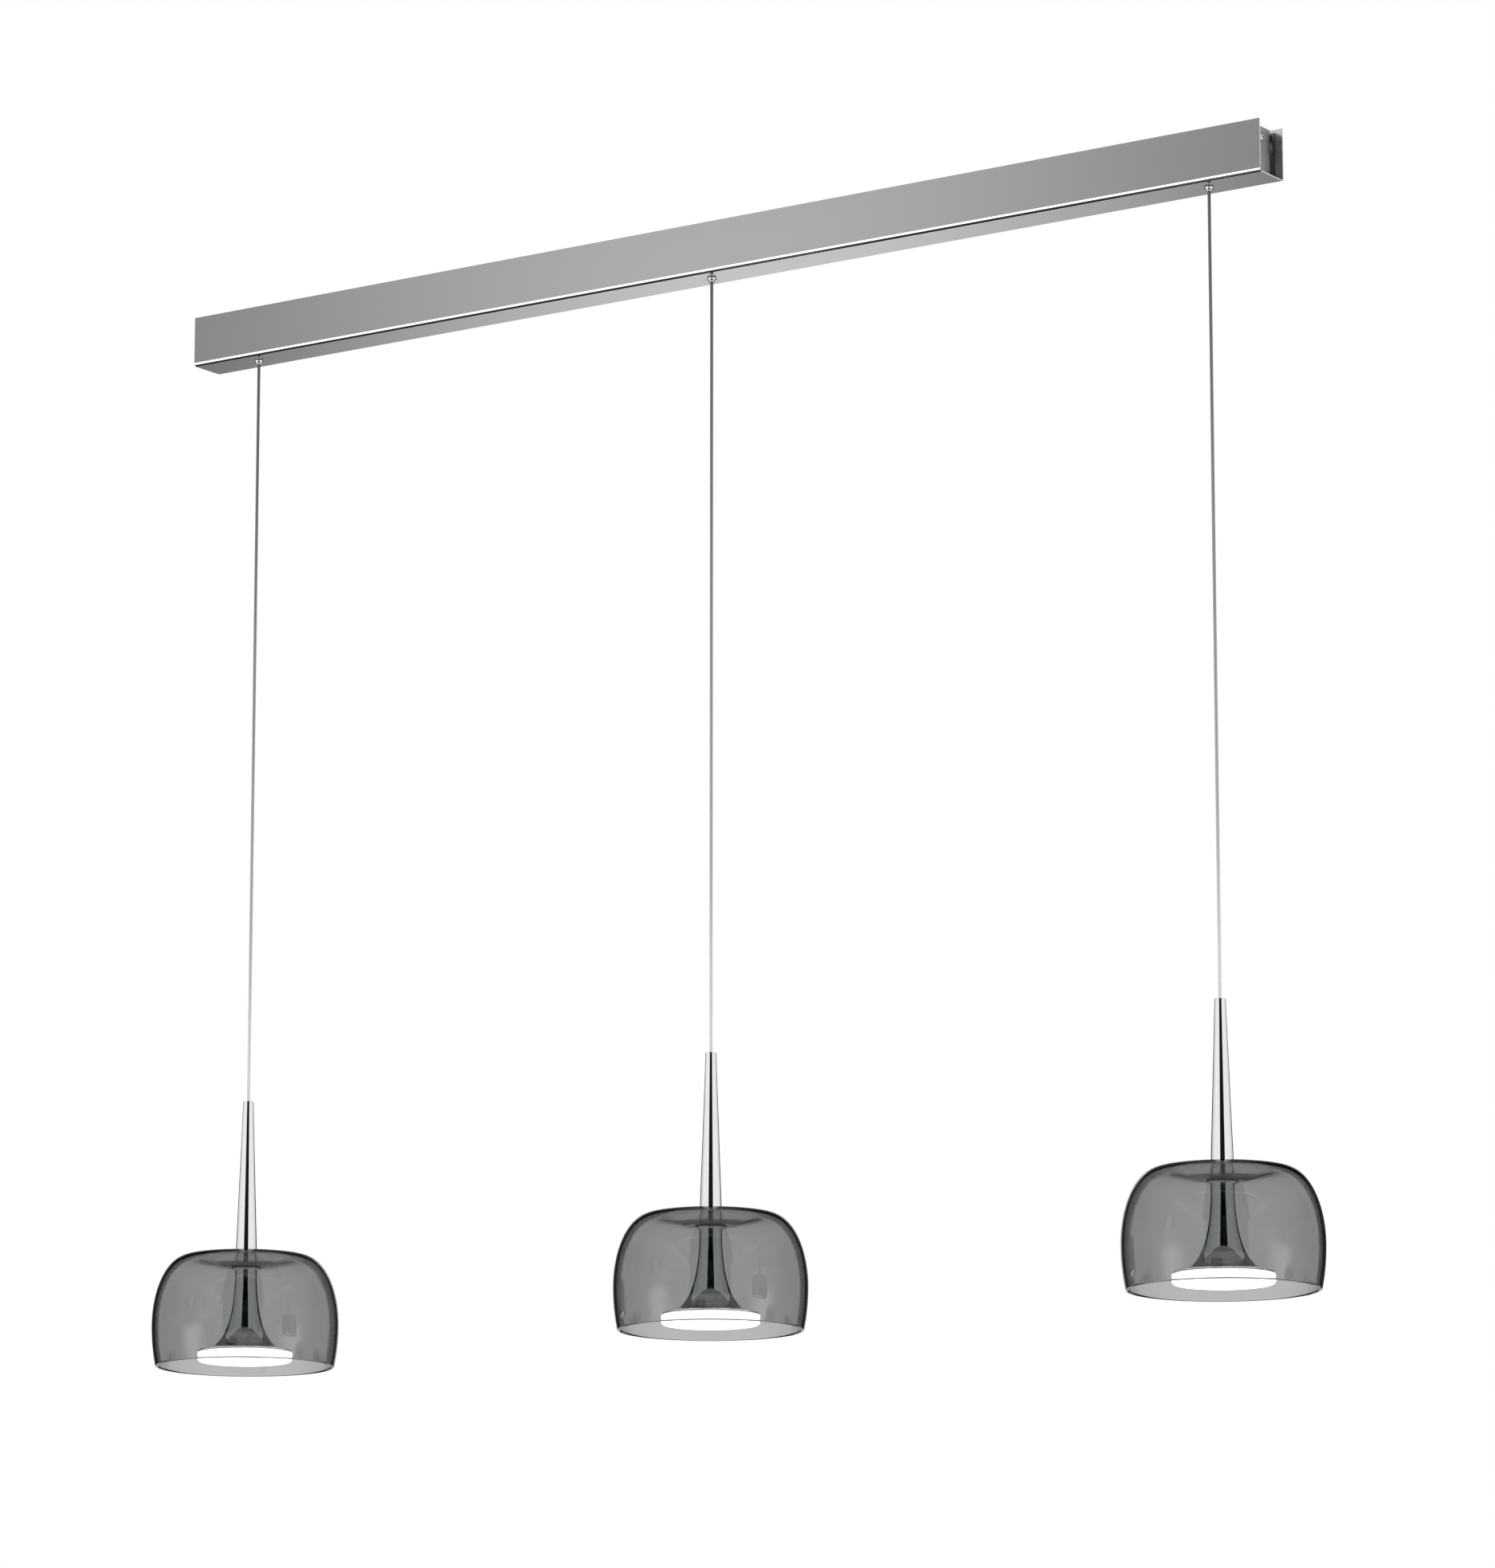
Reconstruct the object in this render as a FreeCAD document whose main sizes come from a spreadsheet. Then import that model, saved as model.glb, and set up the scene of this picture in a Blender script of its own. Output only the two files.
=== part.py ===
import FreeCAD, Part
import math
import os
import re
import Sketcher

# Linear three-light pendant for the ceiling above a kitchen island. Millimetres, +Z up.
# The origin lies in the ceiling plane, over the middle of the canopy; X runs along the canopy.

os.makedirs("parts", exist_ok=True)
vector = FreeCAD.Vector
doc = FreeCAD.newDocument("island_pendant")

# ---------------------------------------------------------------- driving dimensions

sheet = doc.addObject("Spreadsheet::Sheet", "Sizes")

SIZES = (
    # canopy cover: one bent sheet, open on top and at both ends
    ("cover_length", 1160, "length of the canopy"),
    ("cover_height", 47, "ceiling to underside"),
    ("cover_depth", 40, "front to back"),
    ("cover_sheet", 1.2, "sheet thickness"),
    ("bend_radius", 3.2, "outer radius of the two long bends"),
    ("cord_inset", 62, "outer cord to the end of the canopy"),
    # end plates
    ("plate_recess", 10, "plate set back from the end of the cover"),
    ("plate_gap", 4.6, "open slit between plate and flange"),
    ("plate_sheet", 1.5, "plate thickness"),
    ("plate_drop", 1, "top edge below the ceiling"),
    ("plate_bend", 2.5, "outer radius of the plate's bend"),
    ("foot_length", 14, "foot welded to the cover's floor"),
    # ceiling bracket
    ("bracket_width", 25, "width of the strip"),
    ("bracket_sheet", 2, "strip thickness"),
    ("bracket_bend", 3, "outer radius of the strip's bends"),
    ("ear_height", 18, "height of the bent-down ends"),
    ("slot_spacing", 900, "distance between the two ceiling slots"),
    ("slot_length", 14, "end to end"),
    ("slot_width", 5.2, "for ceiling screws up to 5 mm"),
    ("entry_offset", 60, "cable entry, right of the middle"),
    ("entry_radius", 7, "radius of the cable entry"),
    # screws, all of one size
    ("screw_radius", 2, "shank"),
    ("screw_head_radius", 3.6, "pan head"),
    ("screw_head_height", 2.4, "pan head"),
    ("screw_recess_radius", 1.3, "drive recess"),
    ("screw_recess_depth", 1.3, "drive recess"),
    ("side_screw_drop", 11, "side screws below the ceiling"),
    ("thread_clearance", 0.05, "between a thread and its hole"),
    ("screw_clearance", 0.25, "between a shank and its plain hole"),
    # driver and terminal block under the bracket
    ("driver_length", 150, "case"),
    ("driver_width", 30, "case"),
    ("driver_height", 20, "case"),
    ("driver_offset", 260, "left of the middle"),
    ("terminal_length", 30, "block"),
    ("terminal_width", 20, "block"),
    ("terminal_height", 17, "block"),
    ("terminal_offset", 112, "right of the middle"),
    ("terminal_pitch", 9, "pole to pole"),
    ("terminal_hole_radius", 1.9, "wire entries"),
    ("lug_length", 11, "screw lugs of driver and terminal block"),
    ("lug_thickness", 2, "screw lugs of driver and terminal block"),
    ("case_round", 1.5, "rounding of the cases' lower edges"),
    # cords
    ("cord_radius", 1.4, "braid in its clear jacket"),
    ("cord_drop", 703, "underside of the canopy to the top of the stem"),
    ("cord_clearance", 0.05, "between the cord and what holds it"),
    ("lead_bend", 12, "bend of the cords inside the canopy"),
    ("lead_drop", 12, "level of the leads below the ceiling"),
    ("lead_side", 14, "leads that pass beside the fittings"),
    ("lead_entry_side", 8, "side entries of the driver"),
    ("lead_straight", 20, "straight stretch before an entry"),
    ("primary_radius", 2, "lead from terminal block to driver"),
    # cord grip
    ("hole_clearance", 0.15, "spigot in the cover's hole"),
    ("spigot_radius", 3.4, "threaded spigot"),
    ("spigot_reach", 1.35, "spigot below the cover"),
    ("flange_radius", 8, "flange on the cover's floor"),
    ("flange_height", 3, "flange on the cover's floor"),
    ("barrel_radius", 6, "barrel"),
    ("grip_bore", 2.9, "bore for the plunger"),
    ("chamber_radius", 4.4, "chamber of spring and jaws"),
    ("chamber_floor", 6, "chamber above the underside"),
    ("chamber_lid", 2, "wall over the chamber"),
    ("cap_radius", 4.2, "domed nut at the canopy"),
    ("cap_end_radius", 3.5, "domed nut at its lower end"),
    ("cap_height", 2.1, "domed nut"),
    ("tip_radius", 2.8, "plunger"),
    ("tip_reach", 3.6, "plunger below the underside"),
    ("tip_round", 0.5, "rounding of the plunger's mouth"),
    ("plunger_bore", 1.6, "plunger round the cord"),
    ("plunger_travel", 1.5, "push that frees the cord"),
    ("collar_radius", 4.2, "plunger's collar"),
    ("collar_height", 1.5, "plunger's collar"),
    ("nose_radius", 2.0, "end of the plunger's nose"),
    ("nose_height", 3, "plunger's nose"),
    ("running_gap", 0.1, "gap between faces that part when something moves"),
    ("jaw_radius", 3.2, "collet"),
    ("jaw_height", 6, "collet"),
    ("jaw_slit", 0.8, "slit of the collet"),
    ("jaw_gap", 1.1, "collet above the pushed-up nose"),
    ("spring_inner", 3.5, "spring round nose and collet"),
    ("spring_outer", 4.25, "spring round nose and collet"),
    ("guide_radius", 2.15, "ball guide in the plunger's mouth"),
    ("guide_up", 1.05, "ball cut above its centre"),
    ("guide_down", 0.8, "ball cut below its centre"),
    ("guide_mouth_up", 1.62, "upper mouth of the guide's bore"),
    ("guide_mouth_down", 1.75, "lower mouth of the guide's bore"),
    ("pivot_depth", 2.45, "ball centre below the underside"),
    ("pocket_clearance", 0.1, "round the ball guide"),
    ("pocket_headroom", 0.35, "over the ball guide, for its tilt"),
    # stem
    ("stem_length", 154.5, "chrome tube"),
    ("stem_foot_radius", 9.75, "at the foot"),
    ("stem_foot_height", 15, "nearly straight foot"),
    ("stem_waist_radius", 6.7, "at the waist"),
    ("stem_waist_height", 94.5, "waist above the foot"),
    ("stem_top_radius", 4.8, "at the top"),
    ("stem_round", 1, "rounding of the top edge"),
    ("stem_wall", 1.4, "wall"),
    ("stem_lid", 3, "wall under the top"),
    ("stem_plug", 14, "threaded plug at the foot"),
    ("bush_radius", 2.6, "nylon bush"),
    ("bush_flange", 1, "bush flange under the lid"),
    ("ferrule_radius", 2.7, "crimped ferrule"),
    ("ferrule_length", 10, "crimped ferrule"),
    ("ferrule_bore_depth", 6, "cord inside the ferrule"),
    ("nipple_radius", 5, "threaded tube"),
    ("nipple_bore", 3.5, "threaded tube"),
    ("nipple_reach", 12, "threaded tube into stem and trumpet"),
    ("conductor_radius", 1.1, "lead from the ferrule to the board"),
    # trumpet and lamp
    ("seat_radius", 13.2, "flange on top of the trumpet"),
    ("seat_height", 1.5, "flange on top of the trumpet"),
    ("throat_radius", 9.8, "trumpet under its flange"),
    ("lip_radius", 42, "trumpet's lip"),
    ("lip_height", 0.8, "trumpet's lip"),
    ("trumpet_length", 75.7, "flange to lip"),
    ("hollow_radius", 8, "hollow under the plug"),
    ("hollow_mouth", 27, "hollow at the bottom"),
    ("trumpet_plug", 14, "threaded plug at the top"),
    ("seal_radius", 13.6, "silicone ring"),
    ("seal_height", 1.2, "silicone ring"),
    ("seal_clearance", 0.2, "ring round the stem"),
    ("board_radius", 36, "LED board"),
    ("board_height", 1.6, "LED board"),
    ("trim_radius", 42.3, "trim ring"),
    ("trim_clearance", 0.3, "trim ring round the board"),
    ("trim_height", 1.4, "visible band of the trim ring"),
    ("spigot_wall", 2, "trim ring's spigot in the diffuser"),
    ("spigot_depth", 2.5, "trim ring's spigot in the diffuser"),
    ("diffuser_radius", 43.25, "opal diffuser"),
    ("diffuser_height", 8.1, "opal diffuser"),
    ("diffuser_wall", 3.1, "opal diffuser"),
    ("diffuser_floor", 2.3, "opal diffuser"),
    ("diffuser_round", 3, "opal diffuser's lower edge"),
    ("diffuser_clearance", 0.1, "diffuser round the spigot"),
    # glass shade
    ("glass", 3, "thickness of the glass"),
    ("shade_height", 102.1, "rim to crown"),
    ("rim_radius", 81.6, "at the rim"),
    ("belly_radius", 85.5, "widest"),
    ("belly_height", 38, "widest, above the rim"),
    ("crown_radius", 53, "highest ring of the top"),
    ("dish_depth", 7.5, "crown to neck"),
    ("neck_flat", 15, "flat seat round the neck hole"),
    ("neck_clearance", 0.65, "neck hole round the stem"),
)

ALIASES = [alias for alias, number, note in SIZES]
for row, (alias, number, note) in enumerate(SIZES, start=1):
    sheet.set(f"A{row}", note)
    sheet.set(f"B{row}", str(number))
    sheet.setAlias(f"B{row}", alias)
doc.recompute()

# heights that several pieces share, as formulas over the sheet
UNDERSIDE = "-cover_height"
STEM_TOP = "-(cover_height + cord_drop)"
STEM_FOOT = "-(cover_height + cord_drop + stem_length)"
TRUMPET_END = "-(cover_height + cord_drop + stem_length + trumpet_length)"
PIVOT = "-(cover_height + pivot_depth)"
COLLAR_TOP = "(chamber_floor + running_gap + collar_height)"
CHAMBER_TOP = f"({COLLAR_TOP} + nose_height + plunger_travel + jaw_gap + jaw_height)"
GRIP_TOP = f"({CHAMBER_TOP} + chamber_lid)"
PLATE_WIDTH = "cover_depth - 2 * cover_sheet - 2 * plate_gap"
PLATE_FACE = "(cover_length / 2 - plate_recess)"
BRACKET_END = "(cover_length / 2 - plate_recess - plate_sheet)"
SCREW_LENGTH = "(lug_thickness + bracket_sheet - running_gap)"
THREAD_HOLE = "screw_radius + thread_clearance"
PLAIN_HOLE = "screw_radius + screw_clearance"
NIPPLE_HOLE = "nipple_radius + thread_clearance"
CORD_BORE = "cord_radius + cord_clearance"
SPIGOT_OUTER = "diffuser_radius - diffuser_wall - diffuser_clearance"

CORD_SPACING = "(cover_length / 2 - cord_inset)"

PENDANTS = (("left", f"-{CORD_SPACING}"), ("centre", "0"), ("right", CORD_SPACING))

# ---------------------------------------------------------------- helpers


def bound(formula):
    """The formula with every alias read from the sheet."""
    return re.sub(r"[a-z_]+", lambda word: prefixed(word.group()), formula)


def prefixed(word):
    return "Sizes." + word if word in ALIASES else word


def size(alias):
    """The number in the cell of that name."""
    return float(sheet.get(alias))


def cord_spacing():
    return size("cover_length") / 2 - size("cord_inset")


def bind(thing, path, formula):
    thing.setExpression(path, bound(formula))


def place(thing, across="0", deep="0", up="0", turn=None):
    if turn:
        thing.Placement = FreeCAD.Placement(vector(), turn)
    for path, formula in (("x", across), ("y", deep), ("z", up)):
        if formula != "0":
            bind(thing, "Placement.Base." + path, formula)
    return thing


def new_body(name):
    body = doc.addObject("PartDesign::Body", name)
    body.Label = name
    return body


def new_sketch(body, name, role):
    sketch = body.newObject("Sketcher::SketchObject", name)
    plane = [item for item in body.Origin.OriginFeatures if item.Role == role][0]
    sketch.AttachmentSupport = [(plane, "")]
    sketch.MapMode = "FlatFace"
    return sketch


def pin_point(sketch, geometry, end, across, up, start):
    """Tie one point of the sketch to the sheet; "0" keeps it on the axis."""
    ties = (("DistanceX", across, -2, start.x), ("DistanceY", up, -1, start.y))
    for kind, formula, axis, number in ties:
        if formula == "0":
            rule = Sketcher.Constraint("PointOnObject", geometry, end, axis)
            sketch.addConstraint(rule)
        else:
            rule = Sketcher.Constraint(kind, -1, 1, geometry, end, number)
            index = sketch.addConstraint(rule)
            bind(sketch, f"Constraints[{index}]", formula)


def add_outline(sketch, corners):
    """A closed outline of straight lines through the corners."""
    first = sketch.GeometryCount
    count = len(corners)
    turns = [2 * math.pi * number / count for number in range(count)]
    spots = [vector(50 * math.cos(turn), 50 * math.sin(turn), 0) for turn in turns]
    for number in range(count):
        after = spots[(number + 1) % count]
        sketch.addGeometry(Part.LineSegment(spots[number], after), False)
    for number in range(count):
        after = first + (number + 1) % count
        rule = Sketcher.Constraint("Coincident", first + number, 2, after, 1)
        sketch.addConstraint(rule)
    for number, (across, up) in enumerate(corners):
        pin_point(sketch, first + number, 1, across, up, spots[number])


def add_circle(sketch, radius, across, up):
    start = vector(5, 5, 0)
    circle = sketch.addGeometry(Part.Circle(start, vector(0, 0, 1), 3), False)
    pin_point(sketch, circle, 3, across, up, start)
    index = sketch.addConstraint(Sketcher.Constraint("Radius", circle, 3))
    bind(sketch, f"Constraints[{index}]", radius)


def extruded(name, role, corners, width):
    """A body whose outline is drawn on the plane and extruded evenly to both sides."""
    body = new_body(name)
    sketch = new_sketch(body, name + "_outline", role)
    add_outline(sketch, corners)
    pad = body.newObject("PartDesign::Pad", name + "_pad")
    pad.Profile = sketch
    pad.SideType = "Symmetric"
    bind(pad, "Length", width)
    doc.recompute()
    return body


def cut_through(body, name, role, circles=(), outlines=()):
    """Cut circles and outlines through the whole body, square to the plane."""
    before = body.Tip.Shape.Volume
    sketch = new_sketch(body, name + "_sketch", role)
    for circle in circles:
        add_circle(sketch, *circle)
    for outline in outlines:
        add_outline(sketch, outline)
    pocket = body.newObject("PartDesign::Pocket", name)
    pocket.Profile = sketch
    pocket.Type = "ThroughAll"
    pocket.SideType = "Symmetric"
    doc.recompute()
    if pocket.Shape.Volume >= before:
        raise RuntimeError(name + " cuts nothing")


def turned(name, outline):
    """A body turned round the vertical axis from (radius, height) corners."""
    body = new_body(name)
    sketch = new_sketch(body, name + "_outline", "XZ_Plane")
    add_outline(sketch, outline)
    spin = body.newObject("PartDesign::Revolution", name + "_spin")
    spin.Profile = sketch
    spin.ReferenceAxis = (sketch, ["V_Axis"])
    spin.Angle = 360
    doc.recompute()
    return body


def rounded(body, name, radius, chosen):
    """Round the edges of the body that the test picks."""
    tip = body.Tip
    edges = [f"Edge{number}" for number, edge in enumerate(tip.Shape.Edges, start=1) if chosen(edge)]
    if not edges:
        raise RuntimeError(name + " finds no edge")
    fillet = body.newObject("PartDesign::Fillet", name)
    fillet.Base = (tip, edges)
    bind(fillet, "Radius", radius)
    doc.recompute()


def ring_edge(radius, height):
    """A test for the circular edge of that radius at that height."""
    def chosen(edge):
        if not isinstance(edge.Curve, Part.Circle):
            return False
        centre = edge.Curve.Center
        return abs(edge.Curve.Radius - radius) < 0.01 and abs(centre.z - height) < 0.01
    return chosen


def long_edge(axis, spots):
    """A test for straight edges along the axis through one of the (first, second) spots."""
    others = [name for name in "xyz" if name != axis]

    def chosen(edge):
        if not isinstance(edge.Curve, Part.Line):
            return False
        ends = [vertex.Point for vertex in edge.Vertexes]
        for spot in spots:
            pairs = [(getattr(end, other), goal) for end in ends for other, goal in zip(others, spot)]
            if all(abs(here - goal) < 0.01 for here, goal in pairs):
                return True
        return False
    return chosen


def grouped(name, members):
    """Equal pieces that share one name."""
    group = doc.addObject("Part::Compound", name)
    group.Label = name
    group.Links = members
    return group


def shaped(name, shape, height=0.0, across=0.0):
    """A piece whose shape no sketch gives."""
    feature = doc.addObject("Part::Feature", name)
    feature.Label = name
    feature.Shape = shape
    feature.Placement = FreeCAD.Placement(vector(across, 0, height), FreeCAD.Rotation())
    return feature


def spun(edges):
    """The solid that a closed outline in the XZ plane makes round the vertical axis."""
    wire = Part.Wire(Part.__sortEdges__(edges))
    face = Part.Face(wire)
    return face.revolve(vector(), vector(0, 0, 1), 360)


def line(start, end):
    return Part.LineSegment(start, end).toShape()


def at(radius, height):
    return vector(radius, 0, height)


# ---------------------------------------------------------------- canopy


def canopy_cover():
    """Polished sheet bent to a U, with three holes for the cord grips."""
    side = "cover_depth / 2"
    wall = "cover_depth / 2 - cover_sheet"
    floor = "cover_sheet - cover_height"
    corners = (
        (f"-{side}", "0"), (f"-{side}", "-cover_height"),
        (side, "-cover_height"), (side, "0"),
        (wall, "0"), (wall, floor),
        (f"-({wall})", floor), (f"-({wall})", "0"),
    )
    body = extruded("canopy_cover", "YZ_Plane", corners, "cover_length")
    outer = size("cover_depth") / 2
    inner = outer - size("cover_sheet")
    low = -size("cover_height")
    top = low + size("cover_sheet")
    rounded(body, "outer_bends", "bend_radius", long_edge("x", ((outer, low), (-outer, low))))
    inner_bends = long_edge("x", ((inner, top), (-inner, top)))
    rounded(body, "inner_bends", "bend_radius - cover_sheet", inner_bends)
    hole = "spigot_radius + hole_clearance"
    cut_through(body, "cord_holes", "XY_Plane", [(hole, across, "0") for side, across in PENDANTS])
    return body


def end_plate(side, sign):
    """Narrow plate with a foot, spot-welded to the floor of the cover."""
    floor = "(cover_sheet - cover_height)"
    face = PLATE_FACE
    corners = (
        (f"{sign}{face}", "-plate_drop"),
        (f"{sign}{face}", floor),
        (f"{sign}({face} - foot_length)", floor),
        (f"{sign}({face} - foot_length)", f"{floor} + plate_sheet"),
        (f"{sign}({face} - plate_sheet)", f"{floor} + plate_sheet"),
        (f"{sign}({face} - plate_sheet)", "-plate_drop"),
    )
    name = f"end_plate_{side}"
    body = extruded(name, "XZ_Plane", corners, PLATE_WIDTH)
    mirror = -1 if sign else 1
    outer = mirror * (size("cover_length") / 2 - size("plate_recess"))
    low = size("cover_sheet") - size("cover_height")
    rounded(body, f"{name}_bend", "plate_bend", long_edge("y", ((outer, low),)))
    inner = outer - mirror * size("plate_sheet")
    inside = long_edge("y", ((inner, low + size("plate_sheet")),))
    rounded(body, f"{name}_inner_bend", "plate_bend - plate_sheet", inside)
    cut_through(body, f"{name}_hole", "YZ_Plane", [(PLAIN_HOLE, "0", "-side_screw_drop")])
    return body


def ceiling_bracket():
    """Steel strip against the ceiling; its ends are bent down behind the end plates."""
    inside = f"({BRACKET_END} - bracket_sheet)"
    corners = (
        (f"-{BRACKET_END}", "0"), (BRACKET_END, "0"),
        (BRACKET_END, "-ear_height"), (inside, "-ear_height"),
        (inside, "-bracket_sheet"), (f"-{inside}", "-bracket_sheet"),
        (f"-{inside}", "-ear_height"), (f"-{BRACKET_END}", "-ear_height"),
    )
    body = extruded("ceiling_bracket", "XZ_Plane", corners, "bracket_width")
    reach = size("cover_length") / 2 - size("plate_recess") - size("plate_sheet")
    rounded(body, "bracket_bends", "bracket_bend", long_edge("y", ((reach, 0), (-reach, 0))))
    inner = reach - size("bracket_sheet")
    under = -size("bracket_sheet")
    inside_bends = long_edge("y", ((inner, under), (-inner, under)))
    rounded(body, "bracket_inner_bends", "bracket_bend - bracket_sheet", inside_bends)

    end = "(slot_length - slot_width) / 2"
    half = "slot_width / 2"
    slots = []
    ends = []
    for centre in ("slot_spacing / 2", "-slot_spacing / 2"):
        left = f"{centre} - {end}"
        right = f"{centre} + {end}"
        slots.append(((left, f"-{half}"), (right, f"-{half}"), (right, half), (left, half)))
        ends.extend([(half, left, "0"), (half, right, "0")])
    cut_through(body, "ceiling_slots", "XY_Plane", outlines=slots)
    cut_through(body, "slot_ends", "XY_Plane", circles=ends)

    holes = [("entry_radius", "entry_offset", "0")]
    holes += [(THREAD_HOLE, across, "0") for across in hanging_screws()]
    cut_through(body, "entry_and_threads", "XY_Plane", circles=holes)
    cut_through(body, "ear_threads", "YZ_Plane", [(THREAD_HOLE, "0", "-side_screw_drop")])
    return body


def hanging_screws():
    """Where the screws of the driver and of the terminal block go up into the bracket."""
    driver = "(driver_length + lug_length) / 2"
    terminal = "(terminal_length + lug_length) / 2"
    return (
        f"-driver_offset - {driver}", f"-driver_offset + {driver}",
        f"terminal_offset - {terminal}", f"terminal_offset + {terminal}",
    )


def screw(name):
    """Pan-head screw; the head rests at zero and the shank points down."""
    top = "screw_head_height"
    outline = (
        ("0", f"-{SCREW_LENGTH}"), ("screw_radius", f"-{SCREW_LENGTH}"),
        ("screw_radius", "0"), ("screw_head_radius", "0"),
        ("screw_head_radius", f"{top} / 2"), ("screw_head_radius * 0.6", top),
        ("screw_recess_radius", top), ("screw_recess_radius", f"{top} - screw_recess_depth"),
        ("0", f"{top} - screw_recess_depth"),
    )
    return turned(name, outline)


def canopy_screws():
    """Six equal screws: two through the end plates, four up into the bracket."""
    members = []
    upside_down = FreeCAD.Rotation(vector(1, 0, 0), 180)
    under_lug = "-bracket_sheet - lug_thickness"
    for number, across in enumerate(hanging_screws(), start=1):
        members.append(place(screw(f"lug_screw_{number}"), across, "0", under_lug, upside_down))
    for side, sign, angle in (("left", "-", -90), ("right", "", 90)):
        turn = FreeCAD.Rotation(vector(0, 1, 0), angle)
        head = f"{sign}{PLATE_FACE}"
        members.append(place(screw(f"side_screw_{side}"), head, "0", "-side_screw_drop", turn))
    return grouped("canopy_screws", members)


def hung_case(name, length, width, height, across):
    """A case with a screw lug at each end, screwed up against the bracket."""
    lug = f"({length} / 2 + lug_length)"
    corners = (
        (f"-{lug}", "0"), (lug, "0"),
        (lug, "-lug_thickness"), (f"{length} / 2", "-lug_thickness"),
        (f"{length} / 2", f"-{height}"), (f"-{length} / 2", f"-{height}"),
        (f"-{length} / 2", "-lug_thickness"), (f"-{lug}", "-lug_thickness"),
    )
    body = extruded(name, "XZ_Plane", corners, width)
    low = -size(height)
    ends = size(length) / 2
    sides = size(width) / 2

    def lower_edge(edge):
        points = [vertex.Point for vertex in edge.Vertexes]
        return all(abs(point.z - low) < 0.01 for point in points)

    rounded(body, f"{name}_round", "case_round", lower_edge)
    reach = f"({length} + lug_length) / 2"
    holes = [(PLAIN_HOLE, reach, "0"), (PLAIN_HOLE, f"-{reach}", "0")]
    cut_through(body, f"{name}_lug_holes", "XY_Plane", circles=holes)
    return place(body, across, "0", "-bracket_sheet")


def mains_terminal():
    """Three-pole terminal block with wire entries from front to back."""
    body = hung_case("mains_terminal", "terminal_length", "terminal_width", "terminal_height",
                     "terminal_offset")
    height = "-terminal_height / 2"
    poles = [("terminal_hole_radius", across, height)
             for across in ("-terminal_pitch", "0", "terminal_pitch")]
    cut_through(body, "terminal_entries", "XZ_Plane", circles=poles)
    return body


# ---------------------------------------------------------------- cords inside the canopy


def smooth_path(points, bend):
    """Straight runs through the points, joined by tangent arcs; also gives the arcs' radii."""
    edges = []
    radii = []
    start = points[0]
    for before, corner, after in zip(points, points[1:], points[2:]):
        back = (before - corner).normalize()
        onward = (after - corner).normalize()
        turn = math.pi - back.getAngle(onward)
        shorter = min(before.distanceToPoint(corner), corner.distanceToPoint(after))
        radius = min(bend, 0.45 * shorter / math.tan(turn / 2))
        setback = radius * math.tan(turn / 2)
        first = corner + back * setback
        last = corner + onward * setback
        inward = (back + onward).normalize()
        middle = corner + inward * (radius / math.cos(turn / 2) - radius)
        edges.append(line(start, first))
        edges.append(Part.Arc(first, middle, last).toShape())
        radii.append(round(radius, 1))
        start = last
    edges.append(line(start, points[-1]))
    return Part.Wire(edges), radii


def tube_along(name, points, radius, bend):
    path, radii = smooth_path(points, bend)
    direction = points[1] - points[0]
    section = Part.Wire(Part.Circle(points[0], direction, radius).toShape())
    solid = path.makePipeShell([section], True, True)
    expected = math.pi * radius ** 2 * path.Length
    print(name, "radii", radii, "length", round(path.Length, 1),
          "volume ratio", round(solid.Volume / expected, 4))
    return shaped(name, solid)


def driver_leads():
    """The three cords' upper ends, led to the driver, and the primary lead."""
    level = -size("lead_drop")
    pivot = -(size("cover_height") + size("pivot_depth"))
    spacing = cord_spacing()
    right_end = -size("driver_offset") + size("driver_length") / 2
    left_end = -size("driver_offset") - size("driver_length") / 2
    side = size("lead_side")
    entry = size("lead_entry_side")
    straight = size("lead_straight")
    shift = 2 * straight
    grip_exit = spacing - 2 * straight
    block = size("terminal_offset") - size("terminal_length") / 2
    routes = {
        "lead_left": [
            vector(-spacing, 0, pivot),
            vector(-spacing, 0, level),
            vector(left_end, 0, level),
        ],
        "lead_centre": [
            vector(0, 0, pivot),
            vector(0, 0, level),
            vector(right_end, 0, level),
        ],
        "lead_right": [
            vector(spacing, 0, pivot),
            vector(spacing, 0, level),
            vector(grip_exit, side, level),
            vector(right_end + straight + shift, side, level),
            vector(right_end + straight, entry, level),
            vector(right_end, entry, level),
        ],
    }
    bend = size("lead_bend")
    members = [tube_along(name, points, size("cord_radius"), bend) for name, points in routes.items()]
    primary = [
        vector(block, -entry, level),
        vector(block - straight, -entry, level),
        vector(block - shift, -side, level),
        vector(right_end + straight + shift, -side, level),
        vector(right_end + straight, -entry, level),
        vector(right_end, -entry, level),
    ]
    members.append(tube_along("lead_primary", primary, size("primary_radius"), bend))
    return grouped("driver_leads", members)


# ---------------------------------------------------------------- cord grips, local zero at the underside


def grip_body(side, across):
    """Turned body: flange on the cover's floor, spigot down through its hole."""
    outline = (
        ("grip_bore", "-spigot_reach"), ("spigot_radius", "-spigot_reach"),
        ("spigot_radius", "cover_sheet"), ("flange_radius", "cover_sheet"),
        ("flange_radius", "cover_sheet + flange_height"),
        ("barrel_radius", "cover_sheet + flange_height"), ("barrel_radius", GRIP_TOP),
        (CORD_BORE, GRIP_TOP), (CORD_BORE, CHAMBER_TOP),
        ("chamber_radius", CHAMBER_TOP), ("chamber_radius", "chamber_floor"),
        ("grip_bore", "chamber_floor"),
    )
    return place(turned(f"grip_body_{side}", outline), across, "0", UNDERSIDE)


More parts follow.
